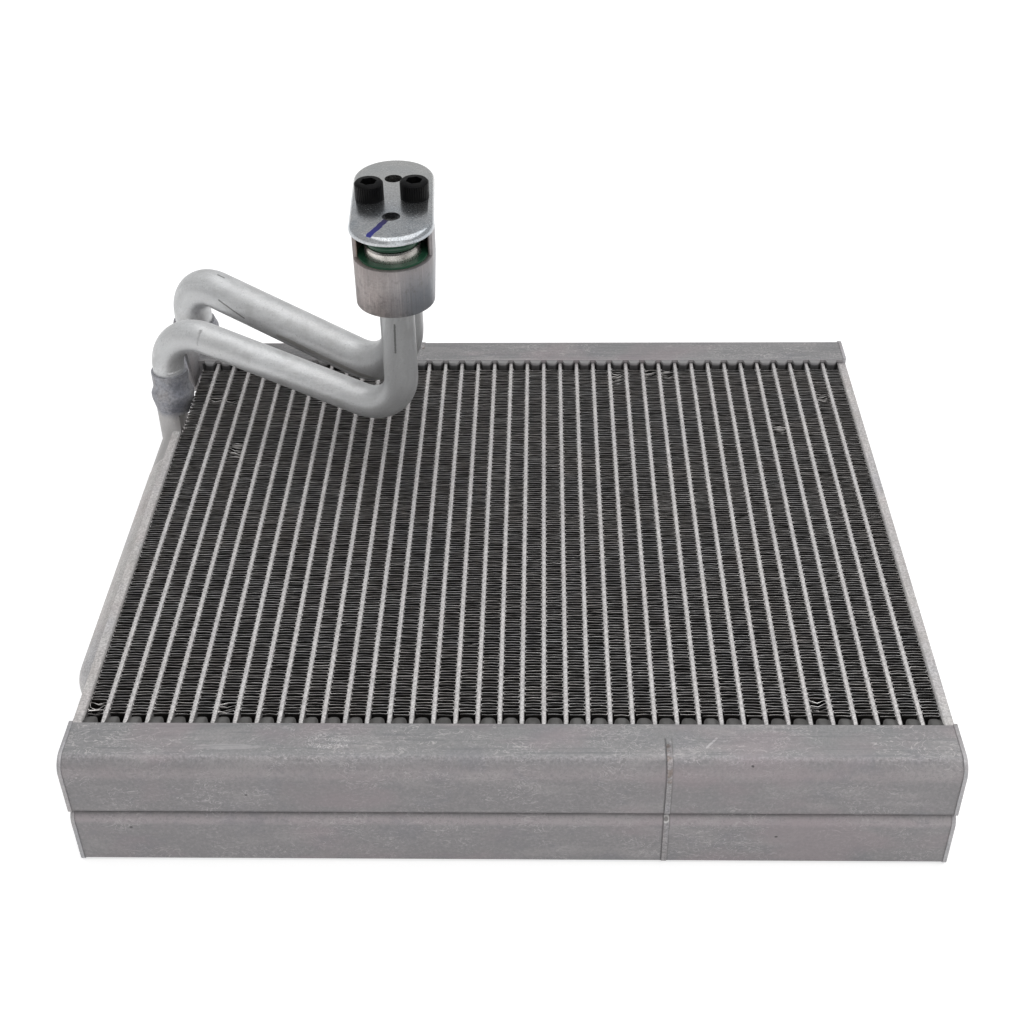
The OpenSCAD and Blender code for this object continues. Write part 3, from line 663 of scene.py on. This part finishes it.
def tank_marks(t):
    """Painted shade and highlight in bands along a tank's height, a painted cool reflection on top, stains,
    scratches.
    """
    place = t.place
    x, y, z = t.split_mm(place)
    base = t.colours.tank
    wavy = t.math("ADD", z, t.times(t.math("SUBTRACT", t.noise(place, 60.0), 0.5), 1.6))
    top = t.remap(z, TANK_TOP - 0.35, TANK_TOP - 0.05)
    fleck = t.noise(place, 1000.0, 4.0, 0.75)
    for mask, c, amount in (
        # Painted shade on every face below the top edge
        (t.remap(z, TANK_TOP - 0.1, TANK_TOP - 1.5), shade(base, 0.88), 0.9),
        # Painted shade on the lower lobe
        (t.remap(z, 21.0, 20.0), shade(base, 0.95), 0.7),
        # Painted cool reflection and shade on the top face
        (top, tint(base, 0.80, 0.84, 0.83), 0.8),
        (t.times(top, t.fine), tint(base, 1.15, 1.18, 1.17), 0.45),
        # Painted highlight on the upper shoulder
        (t.band(wavy, *HIGH_SHOULDER, 1.1), tint(base, 1.22, 1.15, 1.15), 0.6),
        # Painted shade along the turn from the top to the face
        (t.band(z, *RIM_LINE, 0.3), shade(base, 0.62), 0.5),
        # Painted highlight on the lower lobe's shoulder
        (t.band(wavy, *LOW_SHOULDER, 0.8), tint(base, 1.42, 1.31, 1.33), 0.6),
        # Painted shade in the groove between the lobes
        (t.band(z, *GROOVE, 0.5), shade(base, 0.42), 0.75),
        (t.patches(0.54, 0.66, place, 90.0), tint(base, 0.74, 0.77, 0.82), 0.4),
        (t.patches(0.52, 0.68, place, 130.0, 2.0, stretch=(0.35, 1, 1)), tint(base, 1.32, 1.30, 1.28), 0.4),
        (t.remap(fleck, 0.52, 0.64), tint(base, 1.32, 1.28, 1.30), 0.4),
        (t.remap(fleck, 0.48, 0.38), tint(base, 0.72, 0.74, 0.76), 0.4),
    ):
        t.lay(mask, c, amount)
    t.scribble(place, 260.0, (0.5, 1.0, 1.0), tint(base, 2.3, 2.25, 2.2), 0.6, 0.5, top)
    t.scribble(place, 330.0, (0.5, 1.0, 1.0), tint(base, 2.0, 1.95, 1.95), 0.55, 0.5)
    rubbed = t.patch((-52.5, -107.5, TANK_TOP), (10, 3.5, 10), 200.0)
    t.scribble(t.vector("ADD", place, (0.013, 0, 0)), 420.0, (0.7, 1, 1), shade(base, 2.6), 0.9, 0.0, rubbed)
    t.spot((-81.5, -110.0, TANK_TOP), (11, 1.2, 10), shade(base, 1.6), 0.45, 260.0)
    # Painted light on the end faces of the tank walls at the mouth, which lie in shade
    end = t.times(t.remap(t.math("ABSOLUTE", y), 100.5, 100.35), t.remap(z, 39.9, 40.3))
    t.lay(end, shade(base, 1.35), 0.9)
    t.stroke((56.2, -109.7, TANK_TOP), (59.4, -106.1, TANK_TOP), 0.7, shade(base, 2.2), 0.6, 1200.0)
    outside = t.remap(y, -105.5, -106.5)
    wander = t.math("ADD", x, t.times(t.noise(place, 140.0), 0.5))
    for low, high, soft, dark, amount in BAFFLE_LINES:
        t.lay(t.times(outside, t.band(wander, low, high, soft)), shade(base, dark), amount)
    rolled = t.patches(0.54, 0.64, place, 900.0, 2.0, stretch=(0.04, 1, 1))
    t.lay(t.times(top, rolled), tint(base, 0.62, 0.66, 0.68), 0.45)
    t.lay(t.patches(0.52, 0.64, place, 45.0, stretch=(0.5, 1, 1)), tint(base, 1.16, 1.0, 1.04), 0.4)
    for at, height in TANK_NICKS:
        t.spot((at, -TANK_FACE, height), (0.55, 3.0, 0.4), shade(base, 0.15), 0.8)


def header_marks(t):
    """A header's edge in the top's painted cool reflection, painted shade on its faces, painted highlight atop
    each front arch.
    """
    x, y, z = t.split_mm(t.place)
    # Painted cool reflection and shade on the header's upper edge, as on the tank's top
    t.lay(t.remap(z, 40.2, 41.0), tint(t.colours.tank, 0.84, 0.86, 0.85), 0.9)
    within = t.remap(t.math("ABSOLUTE", x), 127.0, 126.5)
    # Painted shade on the header's faces below its upper edge, within the core
    t.lay(t.times(within, t.remap(z, 40.9, 40.1)), (0.035, 0.034, 0.034), 0.93)
    from_tube = t.math("SUBTRACT", x, TUBES[0][0] + TUBE_THICK / 2)
    gap = t.math("COSINE", t.times(from_tube, 2 * math.pi / TUBE_PITCH))
    # Painted shade on the front header, in the boxes between the tubes
    front = t.times(within, t.remap(y, -90.0, -91.0))
    t.lay(front, (0.05, 0.048, 0.046), 0.95)
    # Painted highlight on the upper end of each front arch, uneven from box to box
    patchy_light = t.remap(t.noise(t.place, 130.0), 0.35, 0.6, 0.2, 1.0)
    lit_hump = t.times(front, t.remap(gap, -0.15, -0.85), t.remap(z, 38.0, 41.0), patchy_light)
    t.lay(lit_hump, (0.145, 0.143, 0.14), 0.85)


def raise_arches(bm):
    """Draws the front header's arches out, nearly to the folds."""
    for v in bm.verts:
        v.co.y = max(v.co.y, ARCH_FOOT + ARCH_STRETCH * (v.co.y - ARCH_FOOT))


def plate_marks(t):
    """Grain and specks of the side plates, painted shadow along their flanges' inner edges, and stains."""
    t.scribble(t.place, 420.0, (1, 0.5, 1), shade(t.colours.side, 1.35), 0.5, 0.45)
    x, _, z = t.split_mm(t.place)
    # Painted shadow along the flanges' inner edges, beside the fins
    over = t.math("ADD", t.math("SUBTRACT", t.math("ABSOLUTE", x), -CORE_LEFT),
                  t.times(t.noise(t.place, 700.0), 0.6))
    t.lay(t.times(t.remap(over, 1.1, 0.7), t.band(z, 36.0, TANK_TOP, 0.5)), (0.09, 0.088, 0.086), 0.55)
    stain = t.patches(0.55, 0.66, t.place, 180.0, stretch=(1, 0.4, 1))
    t.lay(stain, tint(t.colours.side, 0.7, 0.68, 0.66), 0.35)


def cap_marks(t):
    """Fine scratches and specks of the end caps."""
    t.scribble(t.place, 500.0, (1, 1, 1), shade(t.colours.cap, 1.5), 0.5, 0.5)


def baffle_marks(t):
    """Brown heat stain on the front baffle's edge and the small ring beside its groove."""
    z = t.split_mm(t.place)[2]
    stain = t.times(t.patches(0.5, 0.6, t.place, 500.0), t.remap(z, 30.0, 36.0))
    t.lay(stain, (0.20, 0.15, 0.12), 0.6)
    t.spot(BAFFLE_RING, (1.35, 3.0, 1.35), (0.56, 0.55, 0.54), 0.9, 400.0)
    t.spot(BAFFLE_RING, (0.75, 3.0, 0.75), (0.2, 0.19, 0.19), 0.9, 400.0)


class EVAPORATOR_OT_core_metal(bpy.types.Operator):
    """Finishes tanks, headers, tubes and side plates"""

    bl_idname = "evaporator.core_metal"
    bl_label = "Tanks, headers, tubes and side plates"

    def execute(self, context):
        colours = context.scene.evaporator_metals
        tank = metal("tank skin", shade(colours.tank, 0.93), shade(colours.tank, 1.1), stretch=0.03,
                     streak_scale=700.0, roughness=(0.46, 0.58), metallic=0.4, mottle=0.2, grain=1250.0,
                     speckle=0.42, depth=0.00004, more=tank_marks)
        for end in ("front", "rear"):
            smooth_copy(end + "_tank", end + "_tank_skin", tank)
        header = metal("arched header", colours.tank, shade(colours.tank, 1.25), streak_axis=2, stretch=0.3,
                       metallic=0.3, roughness=(0.55, 0.7), more=header_marks)
        smooth_copy("front_header", "front_header_plate", header, change=raise_arches)
        smooth_copy("rear_header", "rear_header_plate", header)
        cap = metal("end cap", colours.cap, shade(colours.cap, 1.3), streak_axis=2, stretch=0.2, metallic=0.5,
                    more=cap_marks)
        for end in ("front", "rear"):
            for hand in ("left", "right"):
                node = f"{end}_{hand}_cap"
                smooth_copy(node, node + "_plate", cap, bevel=CAP_BEVEL,
                            halve=LIQUID_HOLE_Z if node == "front_left_cap" else None)
        web = metal("baffle edge", shade(colours.tank, 0.9), shade(colours.tank, 1.15), streak_axis=2,
                    stretch=0.2, metallic=0.4, grain=1300.0, speckle=0.3, more=baffle_marks)
        for end in ("front", "rear"):
            smooth_copy(end + "_baffle", end + "_baffle_plate", web)
        tube = metal("tube nose", shade(colours.tube, 0.93), shade(colours.tube, 1.12), streak_axis=1,
                     stretch=0.15, streak_scale=1300.0, mottle=0.12, roughness=(0.42, 0.55), metallic=0.6,
                     grain=1600.0, speckle=0.34)
        for row in ("upper", "lower"):
            smooth_copy(row + "_tubes", row + "_flat_tubes", tube)
        side = metal("side plate", colours.side, shade(colours.side, 1.2), streak_axis=1, stretch=0.06,
                     speckle=0.26, metallic=0.5, roughness=(0.45, 0.58), more=plate_marks)
        for hand in ("left", "right"):
            smooth_copy(hand + "_side_plate", hand + "_side_sheet", side)
        smooth_copy("side_passage", "side_passage_shell", side)
        return {"FINISHED"}


def rounded_path(corners, radii, steps=10):
    """Points of a line through corners, with an arc of the given radius at each inner one."""
    points = [corners[0]]
    for before, corner, after, radius in zip(corners, corners[1:], corners[2:], radii):
        back, ahead = (before - corner).normalized(), (after - corner).normalized()
        half = back.angle(ahead) / 2
        centre = corner + (back + ahead).normalized() * radius / math.sin(half)
        start = corner + back * radius / math.tan(half) - centre
        end = corner + ahead * radius / math.tan(half) - centre
        points += [centre + start.slerp(end, k / steps) for k in range(steps + 1)]
    return points + [corners[-1]]


def flow_layer(path):
    """Gives a pipe's points their place along its path and across it, so that draw lines follow the bends."""

    def change(bm):
        layer = bm.verts.layers.float_vector.new("flow")
        side = Vector((1, 0, 0))
        frames = []
        gone = 0.0
        before = None
        for a, b in zip(path, path[1:]):
            ahead = (b - a).normalized()
            if before:
                side = before.rotation_difference(ahead) @ side
            frames.append((a, ahead, (b - a).length, gone, side, ahead.cross(side)))
            gone += (b - a).length
            before = ahead
        for v in bm.verts:
            best = None
            for a, ahead, reach, gone, side, other in frames:
                run = min(max((v.co - a).dot(ahead), 0.0), reach)
                off = v.co - a - ahead * run
                if best is None or off.length < best[0]:
                    best = (off.length, gone + run, off.dot(side), off.dot(other))
            v[layer] = Vector(best[1:]) * MM

    return change


def pipe_marks(t):
    """Draw lines, dull patches, painted shade near the block and under the suction pipe, and the dark nicks."""
    flow = t.add("Attribute", {"attribute_name": "flow"}).outputs["Vector"]
    t.scribble(flow, 300.0, (0.1, 1.0, 1.0), (0.80, 0.81, 0.81), 0.4, 0.45)
    bands = t.noise(flow, 260.0, 2.0, stretch=(0.04, 1, 1))
    t.lay(t.remap(bands, 0.56, 0.68), (0.50, 0.505, 0.51), 0.3)
    t.lay(t.patches(0.55, 0.66, t.place, 120.0), (0.45, 0.45, 0.445), 0.35)
    # Painted shade on the pipes towards their upright legs by the block
    t.lay(t.remap(t.split_mm(t.place)[0], -66.0, -48.0), (0.40, 0.405, 0.41), 0.5)
    # Painted shadow along the suction pipe's lower side
    t.stroke((-93.6, 94.6, 56.7), (-55.1, 72.7, 49.7), 2.4, (0.27, 0.25, 0.22), 0.55, 600.0)
    t.lay(t.remap(bands, 0.44, 0.34), (0.76, 0.77, 0.775), 0.35)
    for start, end in PIPE_NICKS:
        t.stroke(start, end, 0.8, (0.13, 0.13, 0.125), 0.75, 1500.0)


def cup_marks(t):
    """The bare metal below a cup's flux."""
    z = t.math("ADD", t.split_mm(t.place)[2], t.times(t.noise(t.place, 300.0), 4.0))
    t.lay(t.remap(z, 38.0, 35.0), t.colours.side, 0.85)
    t.scribble(t.place, 500.0, (1, 1, 0.6), shade(t.colours.side, 1.2), 0.5, 0.5)


def seat_neck(bm):
    """Draws the open end of the liquid stub's neck out to the bottom of its seat in the passage."""
    end = min(v.co.y for v in bm.verts)
    for v in bm.verts:
        if v.co.y < end + ON_PLANE:
            v.co.y = NECK_SEAT


class EVAPORATOR_OT_pipes(bpy.types.Operator):
    """Finishes the two bent pipes and the stubs that carry them"""

    bl_idname = "evaporator.pipes"
    bl_label = "Pipes and stubs"

    def execute(self, context):
        colours = context.scene.evaporator_metals
        drawn = metal("drawn pipe", shade(colours.pipe, 0.92), shade(colours.pipe, 1.12), stretch=0.05,
                      streak_scale=420.0, warm=(0.56, 0.555, 0.55), cool=(0.53, 0.55, 0.57), mottle=0.3,
                      mottle_scale=90.0, roughness=(0.38, 0.5), metallic=0.55, speckle=0.05, flow="flow",
                      more=pipe_marks)
        fluxed = metal("fluxed cup", colours.cup, shade(colours.cup, 1.45), streak_axis=2, stretch=0.5,
                       warm=(0.36, 0.34, 0.34), cool=(0.20, 0.21, 0.25), mottle=0.7, mottle_scale=170.0,
                       depth=0.0001, grain=900.0, speckle=0.25, metallic=0.45, roughness=(0.42, 0.6),
                       more=cup_marks)
        for name, (y, turn, bend, port, low, lift) in PIPE_PATHS.items():
            corners = [Vector(c) for c in ((STUB_X, y, TANK_TOP - 5), (STUB_X, y, turn), (*port, low),
                                           (*port, POCKET_FLOOR))]
            smooth_copy(name + "_pipe", name + "_pipe_tube", drawn,
                        change=flow_layer(rounded_path(corners, (bend, lift))))
            smooth_copy(name + "_stub", name + "_stub_cup", fluxed,
                        change=seat_neck if name == "liquid" else None)
        return {"FINISHED"}


def block_marks(t):
    """Upright brushing of the block, painted bluish shade on its right, a scratch, painted reflection and shade
    in its pockets.
    """
    x, y, z = t.split_mm(t.place)
    # Painted bluish shade on the block's right side
    side = t.math("ADD", x, t.times(t.noise(t.place, 250.0), 3.0))
    t.lay(t.remap(side, BLOCK_X - 2.0, BLOCK_X + 9.0), (0.23, 0.265, 0.305), 0.75)
    t.lay(t.remap(z, 110.0, 120.0), tint(t.colours.block, 0.72, 0.70, 0.70), 0.6)
    lines = t.noise(t.place, 1500.0, 2.0, stretch=(1, 1, 0.03))
    t.lay(t.remap(lines, 0.56, 0.66), shade(t.colours.block, 0.55), 0.35)
    t.lay(t.remap(lines, 0.42, 0.34), shade(t.colours.block, 1.5), 0.25)
    t.lay(t.patches(0.53, 0.66, t.place, 330.0, 3.0, 0.7), (0.17, 0.165, 0.16), 0.4)
    t.stroke((-45.3, 26.1, 108.3), (-46.7, 26.1, 117.3), 0.35, shade(t.colours.block, 0.3), 0.7)
    inside = 0.0
    for px, py in PORTS:
        away = t.add("CombineXYZ", X=t.math("SUBTRACT", x, px), Y=t.math("SUBTRACT", y, py))
        far = t.vector("LENGTH", away)
        inside = t.math("MAXIMUM", inside, t.remap(far, *POCKET_RIM))
    inside = t.times(inside, t.remap(z, POCKET_FLOOR - 0.3, POCKET_FLOOR + 0.3))
    # Painted brown reflection on the pocket walls
    t.lay(inside, (0.19, 0.145, 0.11), 0.85)
    # Painted shade on the right half of the pocket walls
    t.lay(t.times(inside, t.remap(x, BLOCK_X, BLOCK_X + 10)), (0.03, 0.03, 0.033), 0.8)


class EVAPORATOR_OT_port_block(bpy.types.Operator):
    """Finishes the port block with its spigots and seals"""

    bl_idname = "evaporator.port_block"
    bl_label = "Port block"

    def execute(self, context):
        colours = context.scene.evaporator_metals
        sawn = metal("sawn block", shade(colours.block, 0.9), shade(colours.block, 1.3), streak_axis=2,
                     stretch=0.05, warm=(0.42, 0.34, 0.33), cool=(0.30, 0.31, 0.33), mottle=0.4,
                     roughness=(0.34, 0.5), metallic=0.6, more=block_marks)
        smooth_copy("port_block", "port_block_body", sawn, bevel=BLOCK_BEVEL)
        turned = metal("turned spigot", (0.60, 0.57, 0.53), (0.74, 0.71, 0.67), streak_axis=2, stretch=0.1,
                       roughness=(0.2, 0.32), metallic=0.95, mottle=0.2, warm=(0.5, 0.42, 0.33))
        green = rubber_material()
        for name in ("liquid", "suction"):
            smooth_copy(name + "_spigot", name + "_spigot_turned", turned)
            smooth_copy(name + "_o_ring", name + "_o_ring_rubber", green, 60)
            smooth_copy(name + "_face_seal", name + "_face_seal_rubber", green)
        return {"FINISHED"}


def zinc_marks(t):
    """Fine dark specks of the zinc, painted light towards the rear, and a stroke of marker ink from the front
    hole.
    """
    _, y, z = t.split_mm(t.place)
    specks = t.noise(t.place, 2300.0, 3.0, 0.8)
    t.lay(t.remap(specks, 0.52, 0.64), (0.20, 0.21, 0.22), 0.6)
    t.lay(t.remap(specks, 0.44, 0.34), (0.74, 0.77, 0.79), 0.5)
    # Painted light: the plate lighter towards its rear
    t.lay(t.remap(y, 48.0, 74.0), (0.74, 0.735, 0.70), 0.4)
    line = t.line((-42.2, 39.5, PLATE_TOP), (-46.9, 28.5, PLATE_TOP), 2.4, 500.0)
    ink = t.mix(line["Share"], (0.014, 0.008, 0.05, 1), (0.01, 0.014, 0.18, 1))
    inked = t.times(t.remap(line["Mask"], 0.0, 0.6), t.remap(z, PLATE_TOP - 0.5, PLATE_TOP - 0.3))
    t.colour = t.mix(inked, t.colour, ink)
    t.rough = t.remap(inked, 0.0, 1.0, t.rough, 0.7)
    t.metallic = t.remap(inked, 0.0, 1.0, t.metallic, 0.0)


def rubber_material():
    """Cloudy green rubber."""
    t = Finish("green O-ring")
    cloudy = t.clouds(t.place, rgba(t.colours.rubber), (0.04, 0.12, 0.07), (0.012, 0.055, 0.032), 300.0, 0.6)
    return t.close(Base_Color=cloudy, Normal=t.grain(900.0, 0.00002), Roughness=0.2)


def oxide_material():
    """Black oxide, with the screw heads' knurling as a bump."""
    t = Finish("black oxide")
    x, y, z = t.split_mm(t.place)
    cloudy = t.clouds(t.place, rgba(t.colours.screw), (0.009, 0.0085, 0.008), (0.003, 0.003, 0.004), 500.0, 0.7)
    right = t.math("MULTIPLY_ADD", t.math("GREATER_THAN", x, BLOCK_X), 2.0)
    right.node.inputs[2].default_value = -1.0
    across = t.math("SUBTRACT", x, t.math("ADD", t.times(right, SCREW_REACH * math.cos(BLOCK_TURN)), BLOCK_X))
    along = t.math("SUBTRACT", y, t.math("ADD", t.times(right, SCREW_REACH * math.sin(BLOCK_TURN)), BLOCK_Y))
    wave = t.math("SINE", t.times(t.math("ARCTAN2", along, across), KNURL_TEETH))
    far = t.vector("LENGTH", t.add("CombineXYZ", X=across, Y=along))
    low, high = (PLATE_TOP + height for height in KNURL_HEIGHTS)
    knurl = t.times(wave, t.remap(far, *KNURL_RIM), t.band(z, low, high, 0.2))
    height = t.math("ADD", t.times(knurl, 0.5), t.times(t.noise(t.place, 1800.0), 0.3))
    return t.close(Base_Color=cloudy, Normal=t.add("Bump", Height=height, Distance=0.00025), Roughness=0.4,
                   Specular_IOR_Level=0.07)


class EVAPORATOR_OT_cover(bpy.types.Operator):
    """Finishes the cover plate and its screws"""

    bl_idname = "evaporator.cover"
    bl_label = "Cover plate and screws"

    def execute(self, context):
        colours = context.scene.evaporator_metals
        zinc = metal("zinc plate", shade(colours.zinc, 0.92), shade(colours.zinc, 1.15), stretch=1.0,
                     streak_scale=220.0, warm=(0.55, 0.56, 0.56), cool=(0.33, 0.38, 0.43), mottle=0.5,
                     mottle_scale=160.0, roughness=(0.17, 0.28), metallic=0.97, more=zinc_marks)
        smooth_copy("cover_plate", "cover_plate_pressed", zinc)
        smooth_copy("cover_screws", "cover_screws_black", oxide_material())
        return {"FINISHED"}


def aim(yaw, pitch, roll):
    """Right, up and forward of a camera that looks along +Y at no angle."""
    forward = Vector((math.sin(yaw) * math.cos(pitch), math.cos(yaw) * math.cos(pitch), math.sin(pitch)))
    right = Vector((math.cos(yaw), -math.sin(yaw), 0))
    up = right.cross(forward)
    return (right * math.cos(roll) + up * math.sin(roll), up * math.cos(roll) - right * math.sin(roll), forward)


class EVAPORATOR_OT_stage(bpy.types.Operator):
    """Adds the floor, the lights and the camera"""

    bl_idname = "evaporator.stage"
    bl_label = "Floor, light and camera"

    def execute(self, context):
        scene = context.scene
        sizes = scene.evaporator_stage
        scene.view_settings.view_transform = "Standard"
        bm = bmesh.new()
        bmesh.ops.create_grid(bm, x_segments=1, y_segments=1, size=FLOOR_HALF)
        bmesh.ops.translate(bm, vec=(0, 0, -FLOOR_DROP), verts=bm.verts)
        mesh = bpy.data.meshes.new("floor")
        bm.to_mesh(mesh)
        bm.free()
        floor = bpy.data.objects.new("floor", mesh)
        scene.collection.objects.link(floor)
        paper = bpy.data.materials.new("paper floor")
        t = Tree(paper)
        path = t.add("LightPath")
        seen = t.math("MAXIMUM", path.outputs["Is Camera Ray"], path.outputs["Is Glossy Ray"])
        seen = t.math("MAXIMUM", seen, path.outputs["Is Transmission Ray"])
        matte = t.add("BsdfDiffuse", Color=(0.6, 0.6, 0.6, 1))
        glow = t.add("Emission", Color=(1, 1, 1, 1), Strength=t.times(seen, FLOOR_GLOW))
        t.add("OutputMaterial", Surface=t.add("AddShader", i0=matte, i1=glow))
        paint(floor, paper)
        world = bpy.data.worlds.new("white room")
        scene.world = world
        t = Tree(world)
        path = t.add("LightPath")
        seen = t.math("MAXIMUM", path.outputs["Is Camera Ray"], path.outputs["Is Transmission Ray"])
        strength = t.math("ADD", sizes.room_light, t.times(seen, 1.0 - sizes.room_light))
        t.add("OutputWorld", Surface=t.add("Background", Color=(1, 1, 1, 1), Strength=strength))
        for name, place, target, size in LAMPS:
            data = bpy.data.lights.new(name, "AREA")
            data.energy = getattr(sizes, name + "_light")
            data.size = size
            lamp = bpy.data.objects.new(name, data)
            lamp.location = place
            lamp.rotation_euler = (Vector(target) - Vector(place)).to_track_quat("-Z", "Y").to_euler()
            scene.collection.objects.link(lamp)
        data = bpy.data.cameras.new("camera")
        data.sensor_width = SENSOR
        data.lens = FOCUS * SENSOR / PICTURE
        data.clip_start = 0.01
        data.clip_end = 50
        camera = bpy.data.objects.new("camera", data)
        right, up, forward = aim(*CAMERA_TURN)
        turn = Matrix((right, up, -forward)).transposed().to_4x4()
        camera.matrix_world = Matrix.Translation(Vector(sizes.camera_place)) @ turn
        scene.collection.objects.link(camera)
        scene.camera = camera
        return {"FINISHED"}


class EVAPORATOR_PT_panel(bpy.types.Panel):
    """Lists the steps and their sizes"""

    bl_idname = "EVAPORATOR_PT_panel"
    bl_label = "Evaporator core"
    bl_space_type = "VIEW_3D"
    bl_region_type = "UI"
    bl_category = "Evaporator"

    def draw(self, context):
        layout = self.layout
        for settings in (getattr(context.scene, name) for name in SETTINGS):
            for key in settings.bl_rna.properties.keys():
                if key not in ("rna_type", "name"):
                    layout.prop(settings, key)
        for step in STEPS:
            layout.operator(step.bl_idname)


SETTINGS = {"evaporator_fins": FinSizes, "evaporator_metals": MetalColours, "evaporator_stage": StageSizes}
STEPS = (EVAPORATOR_OT_stage, EVAPORATOR_OT_core_metal, EVAPORATOR_OT_fins, EVAPORATOR_OT_pipes,
         EVAPORATOR_OT_port_block, EVAPORATOR_OT_cover)
CLASSES = (*SETTINGS.values(), *STEPS, EVAPORATOR_PT_panel)


def register():
    """Registers the panel, the steps and their sizes."""
    for one in CLASSES:
        bpy.utils.register_class(one)
    for name, kind in SETTINGS.items():
        setattr(bpy.types.Scene, name, PointerProperty(type=kind))


def unregister():
    for name in SETTINGS:
        delattr(bpy.types.Scene, name)
    for one in reversed(CLASSES):
        bpy.utils.unregister_class(one)


def main():
    """Runs each step."""
    register()
    for step in STEPS:
        section, name = step.bl_idname.split(".")
        getattr(getattr(bpy.ops, section), name)()
    bpy.context.view_layer.update()


if __name__ == "__main__":
    main()
